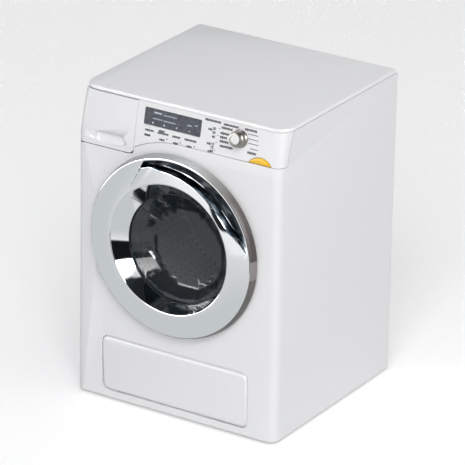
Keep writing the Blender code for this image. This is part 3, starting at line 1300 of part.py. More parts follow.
def door_window():
    """The smoke-tinted bowl: a clamped flange, a slanting wall and a shallow domed end set low."""
    steps = STEPS_LARGE
    flange = -BEZEL_END_DEPTH + GASKET_T + SEAT
    profile_outer = [(WINDOW_FLANGE_R, flange), (WINDOW_FLANGE_R, flange + WINDOW_T),
                     (WINDOW_R, flange + WINDOW_T), (WINDOW_END_R + WINDOW_T, WINDOW_DEPTH),
                     (WINDOW_END_R * 0.55, WINDOW_DEPTH + WINDOW_T + WINDOW_DOME)]
    profile_inner = [(WINDOW_END_R * 0.5, WINDOW_DEPTH + WINDOW_DOME), (WINDOW_END_R, WINDOW_DEPTH - WINDOW_T / 2),
                     (WINDOW_R - WINDOW_T, flange)]
    profile = profile_outer + profile_inner
    rows = []
    for radius, along in profile:
        sag = WINDOW_END_SAG * min(max(along - flange, 0.0) / (WINDOW_DEPTH - flange), 1.0)
        row = []
        for i in range(steps):
            angle = 2 * math.pi * i / steps
            row.append(DOOR_CENTRE + Vector((radius * math.cos(angle), along, radius * math.sin(angle) - sag)))
        rows.append(row)
    verts = [point for row in rows for point in row]
    faces = []
    last_outer = len(profile_outer) - 1
    for i in range(len(rows)):
        low = i * steps
        high = ((i + 1) % len(rows)) * steps
        if i == last_outer:
            continue
        for j in range(steps):
            k = (j + 1) % steps
            faces.append((low + j, low + k, high + k, high + j))
    faces.append(tuple(range(last_outer * steps, (last_outer + 1) * steps)))
    faces.append(tuple(range((last_outer + 1) * steps, (last_outer + 2) * steps)))
    return shade(make_object("door_window", verts, faces, smoke_window()))


def window_gasket():
    """The black ring between the bezel and the window's flange."""
    start = -BEZEL_END_DEPTH + SEAT / 2
    outer_r = FRAME_INNER_R - GAP
    inner_r = BEZEL_END_R - GAP
    profile = [(outer_r, start), (outer_r, start + GASKET_T), (inner_r, start + GASKET_T), (inner_r - GAP, start)]
    return shade(turned("window_gasket", profile, DOOR_CENTRE, Y_AXIS, STEPS_MEDIUM, black_rubber(), hollow=True))


def door_hinge_pin():
    """The steel pin through both ears and the lug."""
    half = HINGE_LUG_H / 2 + SEAT + HINGE_EAR_H - OVERLAP
    start = Vector((HINGE_X, HINGE_Y, DOOR_Z - half))
    end = Vector((HINGE_X, HINGE_Y, DOOR_Z + half))
    return shade(rod("door_hinge_pin", HINGE_PIN_R, start, end, STEPS_TINY, steel()))


def door_latch():
    """The tongue that reaches through the front panel and snaps behind it."""
    back = RING_REAR_DEPTH + FRAME_PLATE_T
    half = LATCH_W / 2
    outline = [(-half, -back), (half, -back), (half, WALL + GAP), (half + LATCH_HOOK, WALL + LATCH_HOOK),
               (half, LATCH_REACH + LATCH_HOOK), (-half, LATCH_REACH + LATCH_HOOK)]
    origin = Vector((LATCH_X, FRONT_Y, DOOR_Z - LATCH_H / 2))
    return prism("door_latch", outline, origin, X_AXIS, Y_AXIS, Z_AXIS * LATCH_H, pale_grey_plastic())


def door_catch():
    """The sprung catch behind the front panel that the tongue presses aside."""
    start_x = LATCH_X + LATCH_W / 2 + LATCH_HOOK + 2 * GAP
    near = FRONT_Y + WALL + SEAT
    arm = CATCH_ARM_T
    outline = [(arm, 0.0), (arm + CATCH_BASE_T * 4, 0.0), (arm + CATCH_BASE_T * 4, CATCH_BASE_T),
               (2 * arm, CATCH_BASE_T), (2 * arm, LATCH_REACH), (arm, LATCH_REACH), (0.0, LATCH_REACH - arm),
               (arm, CATCH_BASE_T)]
    origin = Vector((start_x, near, DOOR_Z - LATCH_H / 2))
    return prism("door_catch", outline, origin, X_AXIS, Y_AXIS, Z_AXIS * LATCH_H, pale_grey_plastic())


def tub_ears(target, y_near, thickness, finish):
    """Adds three drilled ears to a ring of the tub."""
    for x, z in tub_ear_places():
        start = Vector((x, y_near, z))
        end = Vector((x, y_near + thickness, z))
        ear = rod("ear", TUB_EAR_R, start, end, STEPS_TINY, finish)
        join(target, ear)
    for x, z in tub_ear_places():
        start = Vector((x, y_near - OVERRUN, z))
        end = Vector((x, y_near + thickness + OVERRUN, z))
        cut(target, rod("ear_hole", SCREW_HOLE_R, start, end, STEPS_TINY, finish))
    return target


def tub_front():
    """The front ring of the tub that the seal sits on."""
    axis = Vector((0.0, 0.0, DOOR_Z))
    near = TUB_FRONT_Y - WALL
    profile = [(TUB_R + WALL, near), (TUB_R + WALL, TUB_FRONT_Y), (TUB_MOUTH_R, TUB_FRONT_Y),
               (TUB_MOUTH_R, near - WALL), (TUB_MOUTH_R + WALL, near - WALL), (TUB_MOUTH_R + WALL, near)]
    ring = turned("tub_front", profile, axis, Y_AXIS, STEPS_INNER, grey_plastic(), hollow=True)
    return shade(tub_ears(ring, near, WALL, grey_plastic()))


def tub():
    """The water tub: an open cup with the shaft's hub, the inlet collar and the sump outlet."""
    axis = Vector((0.0, 0.0, DOOR_Z))
    front = TUB_FRONT_Y + SEAT
    inner = TUB_R - WALL
    hub_rear = TUB_REAR_Y + WALL + TUB_HUB_L
    bore = BUSH_R + SEAT
    profile = [(inner, front), (TUB_R + WALL, front), (TUB_R + WALL, front + WALL), (TUB_R, front + WALL),
               (TUB_R, TUB_REAR_Y + WALL), (TUB_HUB_R, TUB_REAR_Y + WALL), (TUB_HUB_R, hub_rear), (bore, hub_rear),
               (bore, TUB_REAR_Y), (inner, TUB_REAR_Y)]
    body = turned("tub", profile, axis, Y_AXIS, STEPS_INNER, grey_plastic(), hollow=True)
    tub_ears(body, front, WALL, grey_plastic())

    surface_z = DOOR_Z + math.sqrt(TUB_R ** 2 - INLET_X ** 2)
    start = Vector((INLET_X, INLET_Y, surface_z - INLET_R))
    end = Vector((INLET_X, INLET_Y, INLET_TOP_Z))
    collar = rod("collar", INLET_R + INLET_WALL, start, end, STEPS_TINY, grey_plastic())
    clear = rod("clear", inner, Vector((0.0, TUB_FRONT_Y, DOOR_Z)), Vector((0.0, 0.0, DOOR_Z)), STEPS_INNER,
                grey_plastic())
    cut(collar, clear)
    join(body, collar)
    start.z = surface_z - 3 * INLET_R
    cut(body, rod("inlet", INLET_R, start, end + Z_AXIS * OVERRUN, STEPS_TINY, grey_plastic()))

    bottom = DOOR_Z - TUB_R
    start = Vector((0.0, SUMP_Y, bottom + WALL - OVERLAP))
    end = Vector((0.0, SUMP_Y, bottom - SUMP_DROP))
    join(body, rod("sump", SUMP_R, start, end, STEPS_TINY, grey_plastic()))
    cut(body, rod("sump_bore", SUMP_R - SUMP_WALL, start + Z_AXIS * OVERRUN * 2, end - Z_AXIS * OVERRUN,
                  STEPS_TINY, grey_plastic()))
    return shade(body)


def door_seal():
    """The rubber seal between the front panel's opening and the tub's mouth, with one fold."""
    axis = Vector((0.0, 0.0, DOOR_Z))
    start = FRONT_Y + WALL + SEAT
    end = TUB_FRONT_Y - 2 * WALL - SEAT
    middle = (start + end) / 2
    near_r = DOOR_OPENING_R + SEAL_T
    far_r = TUB_MOUTH_R
    profile = [(near_r + SEAL_T * 2, start), (near_r, start), (near_r + SEAL_FOLD, middle), (far_r, end),
               (far_r + SEAL_T * 2, end), (far_r + SEAL_T * 2, end - SEAL_T), (far_r + SEAL_T, end - SEAL_T),
               (near_r + SEAL_FOLD + SEAL_T, middle), (near_r + SEAL_T, start + SEAL_T),
               (near_r + SEAL_T * 2, start + SEAL_T)]
    return shade(turned("door_seal", profile, axis, Y_AXIS, STEPS_MEDIUM, grey_plastic(), hollow=True))


def drum():
    """The turning drum: a cup with a turned-in mouth, three lifting paddles and rows of holes."""
    axis = Vector((0.0, 0.0, DOOR_Z))
    outer = DRUM_R
    inner = DRUM_R - DRUM_T
    front = DRUM_FRONT_Y
    rear = DRUM_REAR_Y
    edge = DRUM_EDGE_R
    bore = SHAFT_R + SEAT / 3
    hub_front = rear - DRUM_BOSS_L
    profile = [(DRUM_MOUTH_R, front), (outer - edge, front), (outer, front + edge), (outer, rear - edge),
               (outer - edge, rear), (bore, rear), (bore, hub_front), (DRUM_BOSS_R, hub_front),
               (DRUM_BOSS_R, rear - DRUM_T), (inner - edge, rear - DRUM_T), (inner, rear - edge - DRUM_T),
               (inner, front + edge + DRUM_T), (inner - edge, front + DRUM_T), (DRUM_MOUTH_R, front + DRUM_T)]
    body = turned("drum", profile, axis, Y_AXIS, STEPS_INNER, pale_grey_plastic(), hollow=True)
    for turn in (90.0, 210.0, 330.0):
        join(body, paddle(math.radians(turn), front, rear))
    for sector in range(3):
        turn = math.radians(150.0 + 120.0 * sector)
        outward = Vector((math.cos(turn), 0.0, math.sin(turn)))
        for row in range(DRUM_HOLE_ROWS):
            y = front + (rear - front) * (row + 1) / (DRUM_HOLE_ROWS + 1)
            centre = Vector((0.0, y, DOOR_Z)) + outward * (inner + DRUM_T / 2)
            cut(body, rod("hole", DRUM_HOLE_R, centre - outward * OVERRUN, centre + outward * OVERRUN,
                          STEPS_HOLE, pale_grey_plastic()))
        centre = Vector((0.0, rear, DOOR_Z)) + outward * DRUM_REAR_HOLE_CIRCLE_R
        through = Y_AXIS * (DRUM_T + OVERRUN / 2)
        cut(body, rod("hole", DRUM_HOLE_R, centre - through, centre + through, STEPS_HOLE, pale_grey_plastic()))
    return shade(body)


def paddle(turn, front, rear):
    """One lifting paddle: a rounded wedge from the drum wall inwards, tapered towards its ends."""
    outward = Vector((math.cos(turn), 0.0, math.sin(turn)))
    sideways = Vector((-math.sin(turn), 0.0, math.cos(turn)))
    root_r = DRUM_R - DRUM_T / 2
    half = PADDLE_W / 2
    shape = [(-half, 0.0), (-half * 0.62, -0.45), (-half * PADDLE_CREST_SHARE, -0.95), (0.0, -1.0),
             (half * PADDLE_CREST_SHARE, -0.95), (half * 0.62, -0.45), (half, 0.0)]
    rows = []
    span = rear - front
    for along_share, height_share in ((0.10, 0.45), (0.22, 1.0), (0.80, 1.0), (0.93, 0.6)):
        y = front + span * along_share
        row = []
        for side, rise in shape:
            sink = math.sqrt(max(root_r ** 2 - side ** 2, 0.0))
            radius = sink + rise * PADDLE_H * height_share
            row.append(Vector((0.0, y, DOOR_Z)) + outward * radius + sideways * side)
        rows.append(row)
    return skin("paddle", rows, pale_grey_plastic(), wrap=False)


def drum_shaft():
    """The steel shaft pressed into the drum."""
    start = Vector((0.0, SHAFT_FRONT_Y, DOOR_Z))
    end = Vector((0.0, SHAFT_REAR_Y, DOOR_Z))
    return shade(rod("drum_shaft", SHAFT_R, start, end, STEPS_SMALL, steel()))


def shaft_bush():
    """The flanged bush in the tub's hub."""
    start = TUB_REAR_Y - BUSH_FLANGE_T - SEAT
    end = TUB_REAR_Y + WALL + TUB_HUB_L
    profile = [(BUSH_BORE_R, start), (BUSH_FLANGE_R, start), (BUSH_FLANGE_R, start + BUSH_FLANGE_T),
               (BUSH_R, start + BUSH_FLANGE_T), (BUSH_R, end), (BUSH_BORE_R, end)]
    axis = Vector((0.0, 0.0, DOOR_Z))
    return shade(turned("shaft_bush", profile, axis, Y_AXIS, STEPS_SMALL, brass(), hollow=True))


def gear_outline(teeth, module, tooth_at):
    """Tooth outline in the XZ plane; a tooth is centred on the angle tooth_at."""
    pitch_r = teeth * module / 2
    tip_r = pitch_r + module * GEAR_ADDENDUM_SHARE
    root_r = pitch_r - module * GEAR_DEDENDUM_SHARE
    half = math.pi / (2 * teeth) * (1 - GEAR_BACKLASH_SHARE)
    slope = math.tan(math.radians(20.0))
    points = []
    for i in range(teeth):
        middle = tooth_at + 2 * math.pi * i / teeth
        root_half = half + (pitch_r - root_r) * slope / pitch_r * 0.8
        tip_half = half - (tip_r - pitch_r) * slope / pitch_r * 1.25
        for radius, offset in ((root_r, -root_half), (tip_r, -tip_half), (tip_r, tip_half), (root_r, root_half)):
            angle = middle + offset
            points.append((radius * math.cos(angle), radius * math.sin(angle)))
    return points


def idler_centre():
    distance = (DRUM_GEAR_TEETH + DRUM_PINION_TEETH) * GEAR_MODULE / 2 + GEAR_EXTRA_CENTRE
    return Vector((distance * math.cos(IDLER_ANGLE), 0.0, DOOR_Z + distance * math.sin(IDLER_ANGLE)))


def motor_centre():
    distance = (IDLER_TEETH + MOTOR_PINION_TEETH) * FINE_MODULE / 2 + GEAR_EXTRA_CENTRE
    offset = Vector((distance * math.cos(MOTOR_ANGLE), 0.0, distance * math.sin(MOTOR_ANGLE)))
    return idler_centre() + offset


def gear_disc(name, teeth, module, tooth_at, centre, start_y, thickness, finish):
    outline = gear_outline(teeth, module, tooth_at)
    origin = Vector((centre.x, start_y, centre.z))
    return prism(name, outline, origin, X_AXIS, Z_AXIS, Y_AXIS * thickness, finish)


def drum_gear():
    """The large gear fixed on the drum shaft behind the tub."""
    centre = Vector((0.0, 0.0, DOOR_Z))
    gear = gear_disc("drum_gear", DRUM_GEAR_TEETH, GEAR_MODULE, IDLER_ANGLE, centre, DRUM_GEAR_Y, DRUM_GEAR_T,
                     white_plastic())
    hub_start = Vector((0.0, DRUM_GEAR_Y - SEAT * 4, DOOR_Z))
    hub_end = Vector((0.0, PLATE_Y - GAP, DOOR_Z))
    join(gear, rod("hub", GEAR_HUB_R, hub_start, hub_end, STEPS_SMALL, white_plastic()))
    bore = rod("bore", SHAFT_R + SEAT / 3, hub_start - Y_AXIS * OVERRUN, hub_end + Y_AXIS * OVERRUN, STEPS_SMALL,
               white_plastic())
    return cut(gear, bore)


def reduction_gear():
    """The double gear on its own pin: a small one that drives the drum and a large one that the motor drives."""
    centre = idler_centre()
    gap_at = IDLER_ANGLE + math.pi + math.pi / DRUM_PINION_TEETH
    small = gear_disc("reduction_gear", DRUM_PINION_TEETH, GEAR_MODULE, gap_at, centre, DRUM_GEAR_Y - SEAT,
                      FINE_GEAR_Y - DRUM_GEAR_Y + OVERLAP, white_plastic())
    large = gear_disc("large", IDLER_TEETH, FINE_MODULE, MOTOR_ANGLE, centre, FINE_GEAR_Y, FINE_GEAR_T,
                      white_plastic())
    join(small, large)
    start = Vector((centre.x, DRUM_GEAR_Y - OVERRUN, centre.z))
    end = Vector((centre.x, FINE_GEAR_Y + FINE_GEAR_T + OVERRUN, centre.z))
    return cut(small, rod("bore", IDLER_BORE_R, start, end, STEPS_SMALL, white_plastic()))


def reduction_pin():
    """The fixed pin that the reduction gear turns on, from the tub's rear wall to the gear plate."""
    centre = idler_centre()
    start = Vector((centre.x, TUB_REAR_Y + WALL + SEAT, centre.z))
    end = Vector((centre.x, PLATE_Y + PLATE_T, centre.z))
    return shade(rod("reduction_pin", IDLER_PIN_R, start, end, STEPS_SMALL, steel()))


def motor_pinion():
    """The pinion on the motor's shaft."""
    centre = motor_centre()
    gap_at = MOTOR_ANGLE + math.pi + math.pi / MOTOR_PINION_TEETH
    pinion = gear_disc("motor_pinion", MOTOR_PINION_TEETH, FINE_MODULE, gap_at, centre, FINE_GEAR_Y,
                       FINE_GEAR_T, brass())
    start = Vector((centre.x, FINE_GEAR_Y + FINE_GEAR_T - OVERLAP, centre.z))
    end = Vector((centre.x, PLATE_Y + PLATE_T + MOTOR_BOSS_L, centre.z))
    return join(pinion, rod("motor_shaft", MOTOR_SHAFT_R, start, end, STEPS_TINY, brass()))


def gear_plate():
    """The plate behind the gears, on four posts from the tub; it carries the motor and the pins' far ends."""
    low = motor_centre().z - PLATE_BOTTOM_MARGIN
    high = DOOR_Z + PLATE_TOP_MARGIN
    half_h = (high - low) / 2
    mid = Vector((0.0, PLATE_Y, (high + low) / 2))
    outline = rounded_rectangle(PLATE_W / 2, half_h, PLATE_POST_R * 1.4, 3)
    plate = prism("gear_plate", outline, mid, X_AXIS, Z_AXIS, Y_AXIS * PLATE_T, grey_plastic())
    for side_x in (-1, 1):
        for side_z in (-1, 1):
            x = side_x * (PLATE_W / 2 - PLATE_POST_R * 1.2)
            z = mid.z + side_z * (half_h - PLATE_POST_R * 1.2)
            start = Vector((x, TUB_REAR_Y + WALL + SEAT, z))
            end = Vector((x, PLATE_Y + OVERLAP, z))
            join(plate, rod("post", PLATE_POST_R, start, end, STEPS_TINY, grey_plastic()))
    centres = ((Vector((0.0, 0.0, DOOR_Z)), BUSH_BORE_R), (idler_centre(), IDLER_BORE_R),
               (motor_centre(), MOTOR_BOSS_R + SEAT))
    for centre, radius in centres:
        start = Vector((centre.x, PLATE_Y - OVERRUN, centre.z))
        end = Vector((centre.x, PLATE_Y + PLATE_T + OVERRUN, centre.z))
        cut(plate, rod("hole", radius, start, end, STEPS_SMALL, grey_plastic()))
    return shade(plate)


def drive_motor():
    """The small can motor with flattened sides."""
    centre = motor_centre()
    outline = []
    flat = MOTOR_R * MOTOR_FLAT_SHARE
    for i in range(STEPS_SMALL):
        angle = 2 * math.pi * (i + 0.5) / STEPS_SMALL
        z = MOTOR_R * math.sin(angle)
        outline.append((MOTOR_R * math.cos(angle), min(max(z, -flat), flat)))
    near = PLATE_Y + PLATE_T + SEAT
    origin = Vector((centre.x, near, centre.z))
    motor = prism("drive_motor", outline, origin, X_AXIS, Z_AXIS, Y_AXIS * MOTOR_L, steel())
    start = Vector((centre.x, near + OVERLAP, centre.z))
    join(motor, rod("boss", MOTOR_BOSS_R, start, start - Y_AXIS * (MOTOR_BOSS_L + OVERLAP), STEPS_SMALL, steel()))
    bore_start = start - Y_AXIS * (MOTOR_BOSS_L + OVERLAP + OVERRUN)
    bore_end = Vector((centre.x, PLATE_Y + PLATE_T + MOTOR_BOSS_L + SEAT, centre.z))
    return shade(cut(motor, rod("bore", MOTOR_SHAFT_R + SEAT / 3, bore_start, bore_end, STEPS_TINY, steel())))


def tub_screws():
    """Three screws through the tub's ears into the front panel's bosses."""
    for number, (x, z) in enumerate(tub_ear_places(), 1):
        head_y = TUB_FRONT_Y + SEAT + WALL + SEAT
        screw(f"tub_screw_{number}", Vector((x, head_y, z)), -Y_AXIS, TUB_SCREW_L)


def screw(name, seat, direction, length):
    """A pan-headed screw; its seat is under the head and it points along the direction."""
    profile = [(SCREW_HEAD_R * 0.6, -SCREW_HEAD_T), (SCREW_HEAD_R, -SCREW_HEAD_T * 0.45), (SCREW_HEAD_R, 0.0),
               (SCREW_SHANK_R, 0.0), (SCREW_SHANK_R * 0.8, length)]
    return shade(turned(name, profile, seat, direction, STEPS_TINY, steel()))


def rear_panel():
    """The rear panel with the speaker grille, the battery opening, the drain spigot's hole and the tube's clip."""
    half_x = HALF_W - WALL - SEAT
    low = BASE_Z + SEAT
    high = WORKTOP_LOW_Z - SEAT
    half_h = (high - low) / 2
    mid = Vector((0.0, PANEL_REAR_Y - WALL, (low + high) / 2))
    outline = rounded_rectangle(half_x, half_h, WALL, 2)
    panel = prism("rear_panel", outline, mid, X_AXIS, Z_AXIS, Y_AXIS * WALL, white_plastic())
    for x, z in cabinet_posts():
        start = Vector((x, PANEL_REAR_Y - WALL - OVERRUN, z))
        end = Vector((x, PANEL_REAR_Y + OVERRUN, z))
        cut(panel, rod("screw_hole", SCREW_HOLE_R, start, end, STEPS_TINY, white_plastic()))
    half_x, half_z, centre = battery_opening()
    outline = rounded_rectangle(half_x + COVER_LEDGE + GAP, half_z + COVER_LEDGE + GAP, COVER_LEDGE, 3)
    start = Vector((centre.x, PANEL_REAR_Y - WALL - OVERRUN, centre.z))
    depth = Y_AXIS * (WALL + 2 * OVERRUN)
    hole = prism("battery_hole", outline, start, X_AXIS, Z_AXIS, depth, white_plastic())
    x, z = cover_screw_place()
    start = Vector((x, start.y, z))
    cut(panel, hole, rod("ear_hole", COVER_EAR_R + GAP, start, start + depth, STEPS_SMALL, white_plastic()))
    for i in range(GRILLE_SLOTS):
        offset = (i - (GRILLE_SLOTS - 1) / 2) * GRILLE_PITCH
        half_w = math.sqrt(SPEAKER_R ** 2 - offset ** 2) * 0.78
        outline = rounded_rectangle(half_w, GRILLE_SLOT_H / 2, GRILLE_SLOT_H / 2 - SEAT / 3, 1)
        start = Vector((SPEAKER_X, PANEL_REAR_Y - WALL - OVERRUN, SPEAKER_Z + offset))
        cut(panel, prism("slot", outline, start, X_AXIS, Z_AXIS, Y_AXIS * (WALL + 2 * OVERRUN), white_plastic()))
    start = Vector((DRAIN_X, PANEL_REAR_Y - WALL - OVERRUN, DRAIN_Z))
    end = Vector((DRAIN_X, PANEL_REAR_Y + OVERRUN, DRAIN_Z))
    cut(panel, rod("drain_hole", SPIGOT_R + SEAT, start, end, STEPS_SMALL, white_plastic()))

    ring_end = Vector((SPEAKER_X, PANEL_REAR_Y - WALL + OVERLAP, SPEAKER_Z))
    ring_start = ring_end - Y_AXIS * (SPEAKER_T + OVERLAP)
    ring = rod("speaker_ring", SPEAKER_R + SEAT + SPEAKER_RING_T, ring_start, ring_end, STEPS_SMALL, white_plastic())
    room_end = Vector((SPEAKER_X, PANEL_REAR_Y + OVERRUN, SPEAKER_Z))
    cut(ring, rod("room", SPEAKER_R + SEAT, ring_start - Y_AXIS * OVERRUN, room_end, STEPS_SMALL, white_plastic()))
    join(panel, ring)
    join(panel, drain_clip())
    return shade(panel)


def drain_direction():
    return Vector((math.sin(DRAIN_TILT), 0.0, math.cos(DRAIN_TILT)))


def drain_clip():
    """The hook that the drain tube rests in when it is put away; it is open towards the middle."""
    along = drain_direction()
    side = Vector((math.cos(DRAIN_TILT), 0.0, -math.sin(DRAIN_TILT)))
    axis_y = SPIGOT_FLANGE_T + SEAT * 2 + DRAIN_R
    far = DRAIN_R + SEAT
    outline = [(far, -OVERLAP), (far + CLIP_T, -OVERLAP), (far + CLIP_T, axis_y + far + CLIP_T),
               (-DRAIN_R * 0.2, axis_y + far + CLIP_T), (-DRAIN_R * 0.2, axis_y + far), (far, axis_y + far)]
    origin = Vector((DRAIN_X, PANEL_REAR_Y, DRAIN_Z)) + along * (CLIP_ALONG - CLIP_W / 2)
    return prism("clip", outline, origin, side, Y_AXIS, along * CLIP_W, white_plastic())


def battery_opening():
    """Half width, half height and centre of the battery space as seen from the rear."""
    half_x = BATTERY_L / 2 + BATTERY_NUB_L + CONTACT_ROOM
    half_z = BATTERY_PITCH * BATTERY_COUNT / 2 + BATTERY_CLEAR
    centre_z = BATTERY_BOX_LOW_Z + BATTERY_BOX_T + half_z
    return half_x, half_z, Vector((BATTERY_BOX_X, 0.0, centre_z))


def battery_box():
    """The tray that holds the batteries side by side behind the cover, with a boss for the cover's screw."""
    half_x, half_z, centre = battery_opening()
    rear = PANEL_REAR_Y - COVER_T - SEAT
    depth = 2 * (BATTERY_R + BATTERY_CLEAR)
    outer = rounded_rectangle(half_x + BATTERY_BOX_T, half_z + BATTERY_BOX_T, BATTERY_BOX_T, 2)
    start = Vector((centre.x, rear - depth - BATTERY_BOX_T, centre.z))
    box = prism("battery_box", outer, start, X_AXIS, Z_AXIS, Y_AXIS * (depth + BATTERY_BOX_T), dark_plastic())
    inner = rounded_rectangle(half_x, half_z, OVERLAP, 1)
    room = prism("room", inner, start + Y_AXIS * BATTERY_BOX_T, X_AXIS, Z_AXIS, Y_AXIS * (depth + OVERRUN),
                 dark_plastic())
    cut(box, room)
    x, z = cover_screw_place()
    boss_start = Vector((x, rear - COVER_SCREW_L - WALL, z))
    boss_end = Vector((x, rear, z))
    join(box, rod("boss", POST_R, boss_start, boss_end, STEPS_TINY, dark_plastic()))
    cut(box, rod("pilot", PILOT_R, boss_start + Y_AXIS * WALL, boss_end + Y_AXIS * OVERRUN, STEPS_TINY,
                 dark_plastic()))
    for level in (-1, 0, 1):
        flange_low = (-HALF_W + WALL + SEAT, rear - BATTERY_BOX_T, centre.z + level * half_z * 0.7 - WALL)
        flange_high = (centre.x - half_x - BATTERY_BOX_T / 2, PANEL_REAR_Y - WALL - SEAT,
                       centre.z + level * half_z * 0.7 + WALL)
        join(box, block("flange", flange_low, flange_high, dark_plastic()))
    return shade(box)


def cover_screw_place():
    half_x, half_z, centre = battery_opening()
    return centre.x, centre.z + half_z + BATTERY_BOX_T + POST_R - OVERLAP


def batteries():
    """The cells, lying across the machine one above another, every second one turned round."""
    half_x, half_z, centre = battery_opening()
    y = PANEL_REAR_Y - COVER_T - SEAT - BATTERY_CLEAR - BATTERY_R
    for number in range(BATTERY_COUNT):
        z = centre.z + (number - (BATTERY_COUNT - 1) / 2) * BATTERY_PITCH
        sense = 1 if number % 2 == 0 else -1
        edge = BATTERY_R * 0.12
        profile = [(BATTERY_R - edge, 0.0), (BATTERY_R, edge), (BATTERY_R, BATTERY_L - edge),
                   (BATTERY_R - edge, BATTERY_L), (BATTERY_NUB_R, BATTERY_L), (BATTERY_NUB_R, BATTERY_L + BATTERY_NUB_L)]
        start = Vector((centre.x - sense * BATTERY_L / 2, y, z))
        shade(turned(f"battery_{number + 1}", profile, start, X_AXIS * sense, STEPS_SMALL, steel()))


def contact_strips():
    """The plated strips at both ends of the batteries, with a raised bump for each cell."""
    half_x, half_z, centre = battery_opening()
    y = PANEL_REAR_Y - COVER_T - SEAT - BATTERY_CLEAR - BATTERY_R
    for name, side in (("contact_left", -1), ("contact_right", 1)):
        wall_x = centre.x + side * (half_x - SEAT)
        inner_x = wall_x - side * CONTACT_T
        low = (min(wall_x, inner_x), y - BATTERY_R * 0.7, centre.z - half_z + SEAT * 2)
        high = (max(wall_x, inner_x), y + BATTERY_R * 0.7, centre.z + half_z - SEAT * 2)
        strip = block(name, low, high, steel())
        for number in range(BATTERY_COUNT):
            z = centre.z + (number - (BATTERY_COUNT - 1) / 2) * BATTERY_PITCH
            sense = 1 if number % 2 == 0 else -1
            end = BATTERY_L / 2 + (BATTERY_NUB_L if sense == side else 0.0)
            tip_x = centre.x + side * (end + SEAT)
            base_x = wall_x - side * CONTACT_T / 2
            start = Vector((base_x, y, z))
            finish = Vector((tip_x, y, z))
            length = (finish - start).length
            profile = [(BATTERY_NUB_R, 0.0), (BATTERY_NUB_R * 0.7, length)]
            join(strip, turned("bump", profile, start, finish - start, STEPS_TINY, steel()))
        shade(strip)


def battery_cover():
    """The cover over the batteries, flush with the rear panel, with a screw ear and a ridged grip."""
    half_x, half_z, centre = battery_opening()
    outline = rounded_rectangle(half_x + COVER_LEDGE, half_z + COVER_LEDGE, COVER_LEDGE - GAP, 3)
    start = Vector((centre.x, PANEL_REAR_Y - COVER_T, centre.z))
    cover = prism("battery_cover", outline, start, X_AXIS, Z_AXIS, Y_AXIS * COVER_T, white_plastic())
    x, z = cover_screw_place()
    ear_start = Vector((x, PANEL_REAR_Y - COVER_T, z))
    join(cover, rod("ear", COVER_EAR_R, ear_start, ear_start + Y_AXIS * COVER_T, STEPS_SMALL, white_plastic()))
    hole_start = Vector((x, PANEL_REAR_Y - COVER_T - OVERRUN, z))
    hole_end = Vector((x, PANEL_REAR_Y + OVERRUN, z))
    cut(cover, rod("hole", SCREW_HOLE_R, hole_start, hole_end, STEPS_TINY, white_plastic()))
    return shade(cover)


def speaker():
    """The small speaker behind the grille: a rimmed cone basket and its magnet."""
    near = PANEL_REAR_Y - WALL - SEAT
    profile = [(SPEAKER_R * 0.5, -SEAT * 2), (SPEAKER_R - SPEAKER_RING_T, -SEAT), (SPEAKER_R, 0.0),
               (SPEAKER_R, SPEAKER_T * 0.4), (SPEAKER_MAGNET_R, SPEAKER_T), (SPEAKER_MAGNET_R, SPEAKER_T + SPEAKER_MAGNET_T)]
    profile = [(r, s + SEAT * 2) for r, s in profile]
    origin = Vector((SPEAKER_X, near, SPEAKER_Z))
    return shade(turned("speaker", profile, origin, -Y_AXIS, STEPS_SMALL, dark_plastic()))


def control_board():
    """The circuit board behind the fascia, parallel to it, on the fascia's own lean."""
    low_z = FASCIA_BOTTOM_Z + (FASCIA_TOP_Z - FASCIA_BOTTOM_Z) * BOARD_LOW_SHARE
    high_z = FASCIA_BOTTOM_Z + (FASCIA_TOP_Z - FASCIA_BOTTOM_Z) * BOARD_HIGH_SHARE
    height = (high_z - low_z) / math.cos(LEAN_ANGLE)
    corner = panel_point(BOARD_LEFT_X, low_z) - PANEL_NORMAL * BOARD_SET
    outline = [(0.0, 0.0), (BOARD_RIGHT_X - BOARD_LEFT_X, 0.0), (BOARD_RIGHT_X - BOARD_LEFT_X, height), (0.0, height)]
    board = prism("control_board", outline, corner, X_AXIS, PANEL_UP, -PANEL_NORMAL * BOARD_T, green_board())
    post_len = BOARD_SET - WALL - SEAT
    for x in (BOARD_LEFT_X + POST_R, DIAL_X + SWITCH_W + POST_R):
        start = panel_point(x, DIAL_Z) - PANEL_NORMAL * (BOARD_SET + OVERLAP)
        join(board, rod("spacer", POST_R / 2, start, start + PANEL_NORMAL * (post_len + OVERLAP), STEPS_TINY,
                        green_board()))
    return board


def rotary_switch():
    """The switch that the dial turns, standing on the circuit board."""
    face = panel_point(DIAL_X, DIAL_Z)
    outline = rounded_rectangle(SWITCH_W / 2, SWITCH_W / 2, SWITCH_W / 8, 2)
    start = face - PANEL_NORMAL * (BOARD_SET - SEAT)
    switch = prism("rotary_switch", outline, start, X_AXIS, PANEL_UP, PANEL_NORMAL * SWITCH_H, dark_plastic())
    bore_start = start + PANEL_NORMAL * (SWITCH_H / 3)
    bore_end = start + PANEL_NORMAL * (SWITCH_H + OVERRUN)
    return cut(switch, rod("bore", DIAL_STEM_R + SEAT / 2, bore_start, bore_end, STEPS_SMALL, dark_plastic()))


def button_base():
    """Lower middle of the start button, on the leaning surface."""
    return panel_point(BUTTON_X, FASCIA_BOTTOM_Z + BUTTON_H / 4) - PANEL_UP * (BUTTON_H / 4)


def start_switch():
    """The push switch under the start button."""
    middle = button_base() + PANEL_UP * (BUTTON_H / 2)
    start = middle - PANEL_NORMAL * (BOARD_SET - SEAT)
    half = START_SWITCH_W / 2
    height = BOARD_SET - BUTTON_BODY - BUTTON_TRAVEL - 2 * SEAT
    outline = [(-half, -half / 2), (half, -half / 2), (half, half * 2), (-half, half * 2)]
    return prism("start_switch", outline, start, X_AXIS, PANEL_UP, PANEL_NORMAL * height, dark_plastic())


